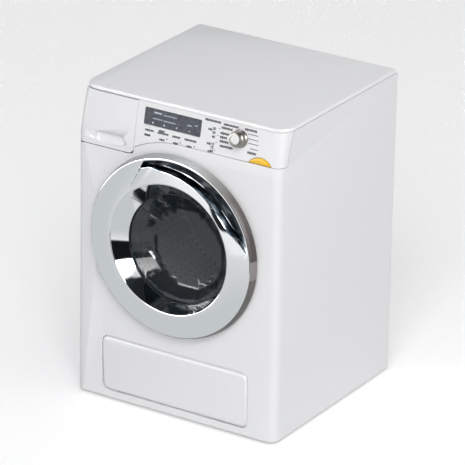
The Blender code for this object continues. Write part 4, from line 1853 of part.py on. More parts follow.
def start_button():
    """The yellow start button: half a lens with a flat lower edge and a softened face."""
    base = button_base() + PANEL_UP * GAP
    outline = button_outline(0.0)
    middle_up = BUTTON_H * 0.42
    rows = []
    for inset_share, ahead in ((0.0, -BUTTON_BODY), (0.0, BUTTON_PROUD * 0.35), (0.10, BUTTON_PROUD * 0.8),
                               (0.34, BUTTON_PROUD)):
        row = []
        for a, b in outline:
            right = a * (1 - inset_share)
            up = middle_up + (b - middle_up) * (1 - inset_share)
            row.append(base + X_AXIS * right + PANEL_UP * up + PANEL_NORMAL * ahead)
        rows.append(row)
    return shade(skin("start_button", rows, yellow_plastic(), wrap=False))


def dial_knob():
    """The dial's silver body, waisted, with a recess for its cap and a stem to the switch."""
    face = panel_point(DIAL_X, DIAL_Z)
    foot = GAP
    top = DIAL_H
    profile = [(DIAL_STEM_R, -DIAL_STEM_L), (DIAL_STEM_R, foot), (DIAL_SKIRT_R, foot), (DIAL_SKIRT_R, foot + DIAL_CAP_T),
               (DIAL_WAIST_R, foot + 2 * DIAL_CAP_T), (DIAL_WAIST_R, top - 2 * DIAL_CAP_T), (DIAL_HEAD_R, top - DIAL_CAP_T / 2),
               (DIAL_HEAD_R - SEAT, top), (DIAL_CAP_R + SEAT / 2, top), (DIAL_CAP_R + SEAT / 2, top - DIAL_CAP_T),
               (DIAL_STEM_R, top - DIAL_CAP_T)]
    return shade(turned("dial_knob", profile, face, PANEL_NORMAL, STEPS_MEDIUM, bright_plating()))


def dial_cap():
    """The white cap pressed into the dial's end."""
    face = panel_point(DIAL_X, DIAL_Z)
    low = DIAL_H - DIAL_CAP_T + SEAT / 2
    high = DIAL_H + SEAT
    profile = [(DIAL_CAP_R, low), (DIAL_CAP_R, high - SEAT), (DIAL_CAP_R * 0.85, high)]
    return shade(turned("dial_cap", profile, face, PANEL_NORMAL, STEPS_MEDIUM, white_plastic()))


def drain_spigot():
    """The fixed spigot through the rear panel that the drain tube turns on."""
    flange = PANEL_REAR_Y + SEAT
    tip = PANEL_REAR_Y + SPIGOT_FLANGE_T + SEAT * 2 + 2 * DRAIN_R - SEAT * 3
    start = PANEL_REAR_Y - WALL - SPIGOT_INNER_L
    profile = [(SPIGOT_BORE_R, start), (SPIGOT_R, start), (SPIGOT_R, flange), (SPIGOT_FLANGE_R, flange),
               (SPIGOT_FLANGE_R, flange + SPIGOT_FLANGE_T), (SPIGOT_R, flange + SPIGOT_FLANGE_T), (SPIGOT_R, tip),
               (SPIGOT_BORE_R, tip)]
    axis = Vector((DRAIN_X, 0.0, DRAIN_Z))
    return shade(turned("drain_spigot", profile, axis, Y_AXIS, STEPS_SMALL, grey_plastic(), hollow=True))


def drain_tube():
    """The white drain tube: a round head on the spigot and a straight tube, put away nearly upright."""
    near = PANEL_REAR_Y + SEAT + SPIGOT_FLANGE_T + SEAT
    far = near + 2 * DRAIN_R
    centre = Vector((DRAIN_X, 0.0, DRAIN_Z))
    along = drain_direction()
    head = rod("drain_tube", DRAIN_HEAD_R, Vector((DRAIN_X, near, DRAIN_Z)), Vector((DRAIN_X, far, DRAIN_Z)),
               STEPS_SMALL, white_plastic())
    axis_y = near + DRAIN_R
    start = Vector((DRAIN_X, axis_y, DRAIN_Z)) + along * (DRAIN_HEAD_BORE_R + OVERLAP)
    end = Vector((DRAIN_X, axis_y, DRAIN_Z)) + along * DRAIN_L
    join(head, rod("tube", DRAIN_R - SEAT / 3, start, end, STEPS_TINY, white_plastic()))
    cut(head, rod("head_bore", DRAIN_HEAD_BORE_R, centre + Y_AXIS * (near - OVERRUN),
                  centre + Y_AXIS * (far - SEAT * 2), STEPS_SMALL, white_plastic()))
    inner = Vector((DRAIN_X, axis_y, DRAIN_Z))
    cut(head, rod("tube_bore", DRAIN_BORE_R, inner, end + along * OVERRUN, STEPS_TINY, white_plastic()))
    return shade(head)


def drain_hose():
    """The inner hose from the tub's outlet to the spigot, on one smooth curve."""
    top = Vector((0.0, SUMP_Y, DOOR_Z - TUB_R - SUMP_DROP - GAP))
    spigot = Vector((DRAIN_X, PANEL_REAR_Y - WALL - SPIGOT_INNER_L - SEAT, DRAIN_Z))
    handle_a = top - Z_AXIS * ((spigot - top).length * HOSE_DROP_SHARE)
    handle_b = spigot - Y_AXIS * ((spigot.y - top.y) * HOSE_REACH_SHARE)
    curve = bpy.data.curves.new("drain_hose", "CURVE")
    curve.dimensions = "3D"
    curve.bevel_depth = HOSE_R
    curve.bevel_resolution = 2
    curve.use_fill_caps = True
    spline = curve.splines.new("POLY")
    spline.points.add(HOSE_POINTS - 1)
    for i in range(HOSE_POINTS):
        t = i / (HOSE_POINTS - 1)
        place = (top * (1 - t) ** 3 + handle_a * 3 * t * (1 - t) ** 2 + handle_b * 3 * t ** 2 * (1 - t)
                 + spigot * t ** 3)
        spline.points[i].co = (*place, 1.0)
    curve.materials.append(black_rubber())
    hose = bpy.data.objects.new("drain_hose", curve)
    bpy.context.scene.collection.objects.link(hose)
    return hose


def rear_screws():
    """Four screws through the rear panel into the cabinet's posts."""
    for number, (x, z) in enumerate(cabinet_posts(), 1):
        screw(f"rear_screw_{number}", Vector((x, PANEL_REAR_Y + SEAT, z)), -Y_AXIS, SCREW_L)


def cover_screw():
    x, z = cover_screw_place()
    return screw("cover_screw", Vector((x, PANEL_REAR_Y + SEAT, z)), -Y_AXIS, COVER_SCREW_L)


def pivot_at(names, place):
    """Moves the origins of moving pieces onto their joint's axis."""
    for name in names:
        item = bpy.data.objects[name]
        item.data.transform(Matrix.Translation(-place))
        item.location = place


def build():
    clear_scene()
    cabinet_body()
    worktop()
    fascia()
    display_window()
    dispenser_flap()
    water_hopper()
    kick_panel()
    base_pan()
    feet()
    door_ring()
    door_back_frame()
    door_window()
    window_gasket()
    door_hinge_pin()
    door_latch()
    door_catch()
    tub_front()
    tub()
    door_seal()
    tub_screws()
    drum()
    drum_shaft()
    shaft_bush()
    drum_gear()
    reduction_gear()
    reduction_pin()
    motor_pinion()
    gear_plate()
    drive_motor()
    rear_panel()
    rear_screws()
    battery_box()
    batteries()
    contact_strips()
    battery_cover()
    cover_screw()
    speaker()
    control_board()
    rotary_switch()
    start_switch()
    start_button()
    dial_knob()
    dial_cap()
    drain_spigot()
    drain_tube()
    drain_hose()

    door = ("door_ring", "door_back_frame", "door_window", "window_gasket", "door_hinge_pin", "door_latch")
    pivot_at(door, Vector((HINGE_X, HINGE_Y, DOOR_Z)))
    pivot_at(("drum", "drum_shaft", "drum_gear"), Vector((0.0, 0.0, DOOR_Z)))
    pivot_at(("reduction_gear",), idler_centre())
    pivot_at(("motor_pinion",), motor_centre())
    pivot_at(("dispenser_flap",), Vector((0.0, FLAP_AXIS_Y, FLAP_AXIS_Z)))
    pivot_at(("dial_knob", "dial_cap"), panel_point(DIAL_X, DIAL_Z))
    pivot_at(("start_button",), button_base())
    pivot_at(("drain_tube",), Vector((DRAIN_X, PANEL_REAR_Y, DRAIN_Z)))


build()
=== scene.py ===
import json
import math

import bpy
from mathutils import Matrix, Vector


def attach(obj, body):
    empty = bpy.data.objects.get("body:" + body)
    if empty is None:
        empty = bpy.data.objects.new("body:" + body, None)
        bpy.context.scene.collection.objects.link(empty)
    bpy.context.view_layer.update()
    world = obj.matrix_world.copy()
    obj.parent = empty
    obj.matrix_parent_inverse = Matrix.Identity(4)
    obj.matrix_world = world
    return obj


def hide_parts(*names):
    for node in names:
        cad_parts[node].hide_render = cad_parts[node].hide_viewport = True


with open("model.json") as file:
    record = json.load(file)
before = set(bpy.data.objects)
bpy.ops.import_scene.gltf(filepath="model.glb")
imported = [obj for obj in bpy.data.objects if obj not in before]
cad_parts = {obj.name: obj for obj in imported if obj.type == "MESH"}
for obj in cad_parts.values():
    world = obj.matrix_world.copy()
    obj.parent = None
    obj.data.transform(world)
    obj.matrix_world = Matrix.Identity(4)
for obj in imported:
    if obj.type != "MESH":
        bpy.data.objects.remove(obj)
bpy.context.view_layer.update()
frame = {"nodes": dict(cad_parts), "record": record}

nodes = frame["nodes"]
bodies = {part: body for body, parts in frame["record"]["behaviour"]["bodies"].items() for part in parts}

# The studio: a pale sweep under a big soft lamp at the front right, a wide fill at the front left, and a
# pale tent all round. Plated and clear parts mirror the tent, its dark opening overhead, a bright softbox
# high on the right and the dark room that shows below it.


class Wire:
    """A socket of a node tree. Sums on it add Math nodes, and node() adds any other node."""

    def __init__(self, tree, socket=None):
        self.tree = tree
        self.socket = socket

    def node(self, kind, settings=None, values=None, output=0):
        made = self.tree.nodes.new(kind)
        for name, value in (settings or {}).items():
            if name == "stops":
                stops = made.color_ramp.elements
                stops.remove(stops[1])
                stops[0].position = value[0][0]
                stops[0].color = (*value[0][1], 1.0)
                for place, colour in value[1:]:
                    stops.new(place).color = (*colour, 1.0)
            else:
                setattr(made, name, value)
        for name, value in (values or {}).items():
            if isinstance(value, Wire):
                self.tree.links.new(value.socket, made.inputs[name])
            else:
                made.inputs[name].default_value = value
        return Wire(self.tree, made.outputs[output])

    def twin(self, output):
        return Wire(self.tree, self.socket.node.outputs[output])

    def sum(self, operation, *terms):
        return self.node("ShaderNodeMath", {"operation": operation}, dict(enumerate(terms)))

    def __add__(self, other):
        return self.sum("ADD", self, other)

    __radd__ = __add__

    def __sub__(self, other):
        return self.sum("SUBTRACT", self, other)

    def __rsub__(self, other):
        return self.sum("SUBTRACT", other, self)

    def __mul__(self, other):
        return self.sum("MULTIPLY", self, other)

    __rmul__ = __mul__

    def __truediv__(self, other):
        return self.sum("DIVIDE", self, other)

    def __gt__(self, other):
        return self.sum("GREATER_THAN", self, other)

    def __lt__(self, other):
        return self.sum("LESS_THAN", self, other)

    def __pow__(self, other):
        return self.sum("POWER", self, other)

    def rise(self, low, high):
        """0 below low, 1 above high, and a soft step between."""
        return self.node("ShaderNodeMapRange", {"interpolation_type": "SMOOTHSTEP"},
                         {0: self, 1: low, 2: high, 3: 0.0, 4: 1.0})

    def blend(self, first, second):
        """first where this is 0 and second where it is 1; each a colour or another wire."""
        ends = {6: first if isinstance(first, Wire) else (*first, 1.0),
                7: second if isinstance(second, Wire) else (*second, 1.0)}
        return self.node("ShaderNodeMix", {"data_type": "RGBA"}, {0: self, **ends}, 2)


camera_place = Vector((1.55571, -2.48525, 1.35315))
camera_right = Vector((0.84370, 0.53654, 0.01747))
camera_down = Vector((0.22016, -0.31617, -0.92280))
camera_ahead = Vector((-0.48959, 0.78241, -0.38488))
camera_data = bpy.data.cameras.new("camera")
camera_data.lens = 311.98
camera_data.sensor_width = 36.0
camera_data.clip_end = 50.0
camera = bpy.data.objects.new("camera", camera_data)
bpy.context.scene.collection.objects.link(camera)
camera.matrix_world = Matrix.Translation(camera_place) @ Matrix(
    (camera_right, -camera_down, -camera_ahead)).transposed().to_4x4()
bpy.context.scene.camera = camera


def lamp(name, place, size, power, colour=(1.0, 1.0, 1.0)):
    """A square softbox that faces the machine."""
    data = bpy.data.lights.new(name, "AREA")
    data.size = size
    data.energy = power
    data.color = colour
    made = bpy.data.objects.new(name, data)
    bpy.context.scene.collection.objects.link(made)
    made.location = place
    made.rotation_euler = (Vector((0.0, 0.0, 0.13)) - Vector(place)).to_track_quat("-Z", "Y").to_euler()
    return made


key_lamp = lamp("key_lamp", (1.1, -1.9, 1.95), 1.4, 42.0)
fill_lamp = lamp("fill_lamp", (-0.6, -2.4, 1.2), 1.8, 4.0)
key_lamp.visible_glossy = False
fill_lamp.visible_glossy = False

bpy.context.scene.view_settings.view_transform = "Standard"
world = bpy.data.worlds.new("tent")
bpy.context.scene.world = world
world.use_nodes = True
sky = Wire(world.node_tree)
toward = sky.node("ShaderNodeTexCoord", output="Generated")
right = toward.node("ShaderNodeSeparateXYZ", {}, {0: toward}, "X")
behind, high = right.twin("Y"), right.twin("Z")
sweep = (high.rise(-0.55, -0.15) * right.rise(-0.70, -0.42)).blend((0.68, 0.705, 0.715), (1.05, 1.06, 1.07))
streak = toward.node("ShaderNodeTexNoise", {}, {"Vector": toward, "Scale": 9.0, "Detail": 2.0})
overhead = streak.rise(0.56, 0.62).blend((0.016, 0.021, 0.028), (0.055, 0.065, 0.075))
tent = high.rise(0.62, 0.70).blend(sweep, overhead)
gap = right.rise(0.74, 0.80) * high.rise(-0.30, -0.25) * (1.0 - high.rise(0.20, 0.24))
tent = gap.blend(tent, (0.008, 0.009, 0.011))
doorway = right.rise(-0.07, -0.03) * (1.0 - right.rise(0.50, 0.53)) * (1.0 - behind.rise(-0.60, -0.54))
doorway = doorway * high.rise(-0.45, -0.40)
tent = doorway.blend(tent, (0.020, 0.022, 0.026))
softbox = right.rise(0.42, 0.46) * high.rise(0.22, 0.25) * (1.0 - high.rise(0.62, 0.66)) * behind.rise(-0.54, -0.50)
softbox = softbox * (1.0 - behind.rise(-0.16, -0.10))
strip = (1.0 - right.rise(-0.26, -0.18)) * high.rise(0.17, 0.21) * (1.0 - high.rise(0.56, 0.62))
strip = strip * (1.0 - behind.rise(-0.36, -0.30))
left_end = (1.0 - right.rise(-0.86, -0.80)) * high.rise(-0.16, -0.12) * (1.0 - high.rise(0.16, 0.22))
strip = strip.sum("MAXIMUM", strip, left_end * (1.0 - behind.rise(0.08, 0.14)) * 0.6)
skylight = right.rise(-0.62, -0.58) * (1.0 - right.rise(-0.14, -0.10)) * behind.rise(-0.02, 0.01)
skylight = skylight * (1.0 - behind.rise(0.14, 0.17)) * high.rise(0.74, 0.78)
small_light = right.rise(-0.54, -0.52) * (1.0 - right.rise(-0.40, -0.38)) * behind.rise(0.32, 0.34)
small_light = small_light * (1.0 - behind.rise(0.40, 0.42)) * high.rise(0.70, 0.74)
skylight = skylight + small_light
lights = softbox.sum("MAXIMUM", softbox + strip, skylight)
tent = lights.blend(tent, (1.0, 1.0, 1.0))
ray = sky.node("ShaderNodeLightPath", output="Is Glossy Ray")
mirrored = ray.sum("MAXIMUM", ray, ray.twin("Is Transmission Ray"))
room = right.rise(-0.6, 0.5).blend((0.08, 0.085, 0.095), (0.72, 0.72, 0.725))
lit = mirrored.blend(room, tent)
lit = ray.twin("Is Camera Ray").blend(lit, (1.0, 1.0, 1.0))
background = world.node_tree.nodes["Background"]
world.node_tree.links.new(lit.socket, background.inputs["Color"])
world.node_tree.links.new((mirrored * (softbox * 24.0 + strip * 6.5 + skylight * 9.0) + 1.0).socket, background.inputs["Strength"])


def clear_selection():
    for item in bpy.context.selected_objects:
        item.select_set(False)
    bpy.context.view_layer.objects.active = None


def finish(name, settings):
    """A new material with its shader's own values set; gives the material, its shader and a wire to start from."""
    made = bpy.data.materials.new(name)
    made.use_nodes = True
    shader = made.node_tree.nodes["Principled BSDF"]
    for key, value in settings.items():
        shader.inputs[key].default_value = (*value, 1.0) if isinstance(value, tuple) else value
    return made, shader, Wire(made.node_tree)


def feed(shader, socket, wire):
    wire.tree.links.new(wire.socket, shader.inputs[socket])


clear_selection()
bpy.ops.mesh.primitive_grid_add(x_subdivisions=8, y_subdivisions=8, size=9.0, location=(0.0, 2.0, 0.0))
floor = bpy.context.object
floor.name = "floor"
floor_paint, floor_shader, wire = finish("pale_sweep", {"Roughness": 0.9, "Specular IOR Level": 0.1,
                                                        "Emission Strength": 1.0})
grain = wire.node("ShaderNodeTexNoise", {}, {"Scale": 3.0, "Detail": 2.0})
feed(floor_shader, "Base Color", grain.blend((0.86, 0.86, 0.865), (0.88, 0.88, 0.88)))
seen = wire.node("ShaderNodeLightPath", output="Is Camera Ray")
feed(floor_shader, "Emission Color", seen.blend((0.0, 0.0, 0.0), (0.30, 0.30, 0.30)))
floor.data.materials.append(floor_paint)
floor.visible_glossy = False

# The housing: glossy white ABS mouldings, the front and sides in one shell, with a lid, a control fascia, a
# dispenser flap and a plinth snapped in. The mould leaves a faint skin and softly broken edges.


def moulded(name, colour, roughness, skin=0.03, edge=0.00035, coat=0.0, spread=0.012):
    """Injection-moulded plastic: a faint skin from the mould, slight shifts of tone, softly rounded edges."""
    made, shader, wire = finish(name, {"Coat Weight": coat, "Coat Roughness": 0.08, "IOR": 1.45})
    place = wire.node("ShaderNodeTexCoord", output="Object")
    cloud = place.node("ShaderNodeTexNoise", {}, {"Vector": place, "Scale": 28.0, "Detail": 3.0})
    fine = place.node("ShaderNodeTexNoise", {}, {"Vector": place, "Scale": 1700.0, "Detail": 2.0})
    darker = tuple(max(c - spread, 0.0) for c in colour)
    feed(shader, "Base Color", cloud.blend(darker, colour))
    feed(shader, "Roughness", cloud * 0.10 + (roughness - 0.05))
    normal = place.node("ShaderNodeBevel", {"samples": 4}, {"Radius": edge}) if edge else None
    values = {"Strength": skin, "Distance": 0.0002, "Height": fine}
    if normal:
        values["Normal"] = normal
    feed(shader, "Normal", place.node("ShaderNodeBump", {}, values))
    return made


def dressed(node, material, angle=30.0):
    """A merged, smooth-shaded copy of a CAD node that stands for it and rides where it rides."""
    clear_selection()
    made = bpy.data.objects.new(node + "_shell", nodes[node].data.copy())
    bpy.context.scene.collection.objects.link(made)
    made.select_set(True)
    bpy.context.view_layer.objects.active = made
    bpy.ops.object.mode_set(mode="EDIT")
    bpy.ops.mesh.select_all(action="SELECT")
    bpy.ops.mesh.remove_doubles(threshold=0.000002)
    bpy.ops.mesh.dissolve_limited(angle_limit=math.radians(0.3))
    bpy.ops.object.mode_set(mode="OBJECT")
    bpy.ops.object.shade_smooth_by_angle(angle=math.radians(angle))
    made.data.materials.clear()
    made.data.materials.append(material)
    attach(made, bodies[node])
    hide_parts(node)
    return made


housing_white = moulded("housing_white", (0.80, 0.80, 0.81), 0.34, coat=0.15)
for node in ("cabinet_body", "worktop", "dispenser_flap", "rear_panel", "battery_cover"):
    dressed(node, housing_white)
kick = dressed("kick_panel", housing_white)
kick_round = 0.0055
for vertex in kick.data.vertices:
    if vertex.co.y < -0.0790:
        core_x = min(max(vertex.co.x, kick_round - 0.0675), 0.0675 - kick_round)
        core_z = min(max(vertex.co.z, 0.0088 + kick_round), 0.0552 - kick_round)
        outward = math.hypot(vertex.co.x - core_x, vertex.co.z - core_z)
        narrower = (kick_round - (kick_round - outward) * 2.2) / outward if outward > 0.0030 else 1.0
        vertex.co = (core_x + (vertex.co.x - core_x) * narrower, -0.0788 + (vertex.co.y + 0.0788) * 1.9,
                     core_z + (vertex.co.z - core_z) * narrower)
flap = nodes["dispenser_flap"].data.vertices
flap_left, flap_right = min(v.co.x for v in flap), max(v.co.x for v in flap)
flap_foot, flap_top = min(v.co.z for v in flap), max(v.co.z for v in flap)
flap = bpy.data.objects["dispenser_flap_shell"]
for vertex in flap.data.vertices:
    vertex.co.x += 0.00018 * (vertex.co.x - flap_left) / (flap_right - flap_left)
    vertex.co.z -= 0.00018 * (flap_top - vertex.co.z) / (flap_top - flap_foot)
fascia = dressed("fascia", housing_white)
for vertex in fascia.data.vertices:
    if vertex.co.z > 0.2558:
        vertex.co.z += 0.00028

# The base: a pale grey pan closes the housing from below and stands on four pushed-in rubber feet.

pan_grey = moulded("pan_grey", (0.58, 0.59, 0.60), 0.45)
dressed("base_pan", pan_grey)
foot_rubber = moulded("foot_rubber", (0.030, 0.030, 0.032), 0.75, skin=0.12, edge=0.0)
for number in range(1, 5):
    dressed(f"foot_{number}", foot_rubber)

# The door ring: one plated ABS moulding with a domed front, a crescent grip scooped into its upper right, a
# thin rim round the grip, and a mirror cone that runs in to the window.

door_centre = Vector((0.0, -0.081, 0.1475))
ring_columns_in_grip = 150
ring_columns_outside = 170
bezel_r = 0.0539
bezel_depth = 0.0115
rim_r = 0.0730
rim_depth = 0.0088
window_drop = Vector((0.0007, 0.0, -0.0039))
grip_rim_r = 0.0714
grip_depth = 0.0062
# Along the grip: degrees round the door, share of the rim's inner radius at which the raised band ends
grip_edge = ((10.0, 0.992), (15.0, 0.940), (20.6, 0.891), (26.0, 0.843), (32.4, 0.818), (46.0, 0.811),
             (57.0, 0.822), (70.4, 0.836), (84.1, 0.857), (98.4, 0.887), (110.5, 0.931))


def dome_depth(radius):
    share = min(max((radius - bezel_r) / (rim_r - bezel_r), 0.0), 1.0)
    return bezel_depth - (bezel_depth - rim_depth) * share ** 1.5


def grip_edge_r(turn):
    """Radius at which the grip begins, at an angle in degrees: a smooth curve through the table."""
    if turn <= grip_edge[0][0]:
        return grip_rim_r * grip_edge[0][1]
    for i in range(len(grip_edge) - 1):
        low, high = grip_edge[i], grip_edge[i + 1]
        if turn <= high[0]:
            before = grip_edge[max(i - 1, 0)]
            after = grip_edge[min(i + 2, len(grip_edge) - 1)]
            span = high[0] - low[0]
            start = (high[1] - before[1]) / (high[0] - before[0]) * span
            end = (after[1] - low[1]) / (after[0] - low[0]) * span
            t = (turn - low[0]) / span
            share = (low[1] * (2 * t ** 3 - 3 * t ** 2 + 1) + start * (t ** 3 - 2 * t ** 2 + t)
                     + high[1] * (3 * t ** 2 - 2 * t ** 3) + end * (t ** 3 - t ** 2))
            return grip_rim_r * min(share, grip_edge[0][1])
    return grip_rim_r * grip_edge[-1][1]


def end_wall_angle(radius):
    """Where the grip's straight slanted end wall crosses a radius."""
    return math.radians(155.0) - math.acos(0.0507 / max(radius, 0.0534))


def rounded(points):
    """A section with its corners turned into small curves: points are (radius, depth, how far to cut back)."""
    line = []
    for i, (r, d, cut) in enumerate(points):
        if i in (0, len(points) - 1) or cut == 0.0:
            line.append((r, d))
            continue
        corner = Vector((r, d))
        ends = []
        for j in (i - 1, i + 1):
            other = Vector(points[j][:2]) - corner
            ends.append(corner + other.normalized() * min(cut, other.length * 0.45) if other.length else corner)
        for k in range(5):
            t = k / 4
            spot = ends[0] * (1 - t) ** 2 + corner * 2 * t * (1 - t) + ends[1] * t ** 2
            line.append((spot.x, spot.y))
    return line


def ring_section(angle, in_grip):
    """The ring's section at one angle, from its rear edge over the front and back inside."""
    edge = grip_edge_r(math.degrees(angle))
    width = grip_rim_r - edge
    depth = min(grip_depth, width * 0.8) if in_grip else 0.0
    drop = 0.0012 * min(width / grip_depth, 1.0) if in_grip else 0.0
    points = [(0.0738, 0.0004, 0.0), (0.0753, 0.0019, 0.0004), (0.0745, 0.0066, 0.0012), (0.0730, 0.0088, 0.0005),
              (0.0719, dome_depth(0.0719), 0.0003)]
    for across, deep, cut in ((1.0, 0.08, 0.0003), (0.91, 0.88, 0.0012), (0.58, 1.0, 0.0012), (0.22, 0.92, 0.0010),
                              (0.10, 0.50, 0.0008), (0.0, 0.0, 0.00035)):
        radius = edge + width * across
        points.append((radius, dome_depth(radius) - drop * (1 - across) - depth * deep, cut if in_grip else 0.0001))
    for i in range(1, 9):
        share = 1 - i / 9
        radius = bezel_r + (edge - bezel_r) * share
        points.append((radius, dome_depth(radius) - drop * share, 0.0))
    points += [(bezel_r, bezel_depth, 0.0004), (bezel_r - 0.0007, bezel_depth - 0.00035, 0.0005),
               (0.0452, -0.0010, 0.0), (0.0467, -0.0010, 0.0), (0.0550, 0.0086, 0.0)]
    inner = [(edge + width * a, dome_depth(edge + width * a) - drop * (1 - a) - depth * d - 0.0015)
             for a, d in ((0.0, 0.0), (0.10, 0.50), (0.58, 1.0), (0.91, 0.88))]
    points += [(min(r, 0.0704 - 0.0006 * (3 - i)), d, 0.0) for i, (r, d) in enumerate(inner)]
    points += [(0.0716, 0.0064, 0.0), (0.0723, 0.0004, 0.0)]
    return rounded(points)


middle = end_wall_angle((bezel_r + 0.0719) / 2)
point = math.radians(10.0)
columns = [(point + (middle - point) * i / ring_columns_in_grip, True) for i in range(ring_columns_in_grip)]
columns += [(middle, True), (middle, False)]
columns += [(middle + (2 * math.pi + point - middle) * i / ring_columns_outside, False)
            for i in range(1, ring_columns_outside)]
ring_points = []
for angle, in_grip in columns:
    away = angle - middle
    fade = min(max(1 - abs(away) / math.radians(38.0), 0.0), 1.0)
    fade = fade * fade * (3 - 2 * fade)
    section = ring_section(angle, in_grip)
    for radius, depth in section:
        turn = angle + (end_wall_angle(radius) - middle) * fade
        if away == 0.0:
            turn += (-0.0002 if in_grip else 0.0002) / radius
        point_on_ring = door_centre + Vector((radius * math.cos(turn), -depth, radius * math.sin(turn)))
        if radius < bezel_r:
            point_on_ring += window_drop * min(max((bezel_depth - depth) / 0.0125, 0.0), 1.0)
        ring_points.append(point_on_ring)
rows = len(section)
grip_rows = range(21, 50)
ring_faces = []
scooped = []
for i in range(len(columns)):
    this, following = i * rows, (i + 1) % len(columns) * rows
    for j in range(rows):
        k = (j + 1) % rows
        ring_faces.append((this + j, this + k, following + k, following + j))
        scooped.append(int(i < ring_columns_in_grip and j in grip_rows or i == ring_columns_in_grip and j > 20))
ring_mesh = bpy.data.meshes.new("ring_plating")
ring_mesh.from_pydata(ring_points, [], ring_faces)
ring_mesh.polygons.foreach_set("material_index", scooped)
ring = bpy.data.objects.new("ring_plating", ring_mesh)
bpy.context.scene.collection.objects.link(ring)


def carve(target, low, high):
    """Cuts a box out of a piece."""
    clear_selection()
    size = [h - l for l, h in zip(low, high)]
    bpy.ops.mesh.primitive_cube_add(size=1.0, location=[(l + h) / 2 for l, h in zip(low, high)])
    cutter = bpy.context.object
    cutter.scale = size
    bpy.context.view_layer.update()
    cutting = target.modifiers.new("cutting", "BOOLEAN")
    cutting.operation = "DIFFERENCE"
    cutting.solver = "EXACT"
    cutting.object = cutter
    clear_selection()
    target.select_set(True)
    bpy.context.view_layer.objects.active = target
    bpy.ops.object.modifier_apply(modifier="cutting")
    bpy.data.objects.remove(cutter, do_unlink=True)


def smooth(piece, angle=30.0, outward=True):
    """Merges a piece's doubles, turns its faces outward and shades it smooth up to an angle."""
    clear_selection()
    piece.select_set(True)
    bpy.context.view_layer.objects.active = piece
    bpy.ops.object.mode_set(mode="EDIT")
    bpy.ops.mesh.select_all(action="SELECT")
    bpy.ops.mesh.remove_doubles(threshold=0.000001)
    if outward:
        bpy.ops.mesh.normals_make_consistent(inside=False)
    bpy.ops.object.mode_set(mode="OBJECT")
    bpy.ops.object.shade_smooth_by_angle(angle=math.radians(angle))


smooth(ring)
carve(ring, (-0.0773, -0.0884, 0.1411), (-0.0699, -0.0805, 0.1539))
carve(ring, (-0.0773, -0.0884, 0.1351), (-0.0688, -0.0805, 0.1599))
smooth(ring, 28.0, outward=False)


def plated(name, colour=(0.80, 0.81, 0.82), low=0.03, high=0.07):
    """Bright plating: a mirror with faint wiping marks."""
    made, shader, wire = finish(name, {"Metallic": 1.0})
    place = wire.node("ShaderNodeTexCoord", output="Object")
    wiped = place.node("ShaderNodeTexNoise", {}, {"Vector": place, "Scale": 60.0, "Detail": 4.0, "Distortion": 0.6})
    feed(shader, "Roughness", wiped * (high - low) + low)
    return made, shader, place, wiped, colour


# The ring's plated face, and its side wall in grey plastic whose colour carries painted shade and light.
ring_plating_and_painted_shade, shader, place, wiped, bright = plated("ring_plating_and_painted_shade")
parts = place.node("ShaderNodeSeparateXYZ", {}, {0: place}, "X")
x, z = parts, parts.twin("Z") - 0.1475
out = (x * x + z * z) ** 0.5
wall = out.rise(0.07290, 0.07310)
round_door = place.sum("ARCTAN2", z, x) / (2.0 * math.pi)
round_door = round_door.sum("FRACT", round_door + 1.0)
# Painted shade and light round the side wall: dark at the right and lower right, darker again at the lower left,
# lighter across the top and the left, brightest just right of the top.
side_wall_painted_shade = round_door.node("ShaderNodeValToRGB", {"stops": (
    (0.00, (0.070, 0.058, 0.055)), (0.05, (0.060, 0.050, 0.048)), (0.12, (0.10, 0.092, 0.088)),
    (0.17, (0.30, 0.295, 0.29)), (0.21, (0.50, 0.51, 0.52)), (0.27, (0.38, 0.39, 0.40)), (0.50, (0.36, 0.34, 0.33)),
    (0.58, (0.16, 0.14, 0.13)), (0.70, (0.18, 0.17, 0.16)), (0.78, (0.26, 0.255, 0.25)), (0.88, (0.115, 0.110, 0.108)),
    (0.98, (0.115, 0.105, 0.100)))}, {0: round_door})
# A painted reflection: a lighter band on the right of the side wall, at the latch.
painted_reflection_patch = (x > 0.0) * (z > -0.0095) * (z < 0.0060)
side_wall_painted_shade = painted_reflection_patch.blend(side_wall_painted_shade, (0.24, 0.22, 0.22))
face = wiped.blend(tuple(c - 0.02 for c in bright), bright)
feed(shader, "Base Color", wall.blend(face, side_wall_painted_shade))
feed(shader, "Metallic", 1.0 - wall)
feed(shader, "Roughness", wiped * 0.04 + wall * 0.45 + 0.03)
ring.data.materials.append(ring_plating_and_painted_shade)

# The grip's plating carries painted reflections: a dark blue-black base colour stands in for the dark room it mirrors,
# with light streaks and white glints painted along the arc; the floor of the grip is painted darker than its steep
# wall.
grip_painted_reflections, shader, place, wiped, bright = plated("grip_painted_reflections")
parts = place.node("ShaderNodeSeparateXYZ", {}, {0: place}, "X")
x, z = parts, parts.twin("Z") - 0.1475
out = (x * x + z * z) ** 0.5
turn = place.sum("ARCTAN2", z, x)
along_grip = place.node("ShaderNodeCombineXYZ", {}, {0: out * 420.0 + turn * 1.6, 1: turn * 5.0})
reflection_streaks = place.node("ShaderNodeTexNoise", {}, {"Vector": along_grip, "Scale": 1.0, "Detail": 3.0, "Distortion": 0.4})
steep_wall_painted_glints = reflection_streaks.node("ShaderNodeValToRGB", {"stops": (
    (0.35, (0.10, 0.13, 0.16)), (0.50, (0.45, 0.52, 0.58)), (0.60, (0.85, 0.88, 0.90)))}, {0: reflection_streaks})
grip_floor_painted_dark = reflection_streaks.node("ShaderNodeValToRGB", {"stops": (
    (0.35, (0.004, 0.006, 0.009)), (0.52, (0.025, 0.030, 0.036)), (0.66, (0.13, 0.14, 0.15)))}, {0: reflection_streaks})
deep = parts.twin("Y").rise(-0.0886, -0.0870)
feed(shader, "Base Color", deep.blend(steep_wall_painted_glints, grip_floor_painted_dark))
ring.data.materials.append(grip_painted_reflections)
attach(ring, "door")
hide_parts("door_ring")

# The window: a deep bowl blown from smoke-tinted clear plastic, hung a little low, clamped by its flange
# between the ring and a grey frame, with a black gasket round it.


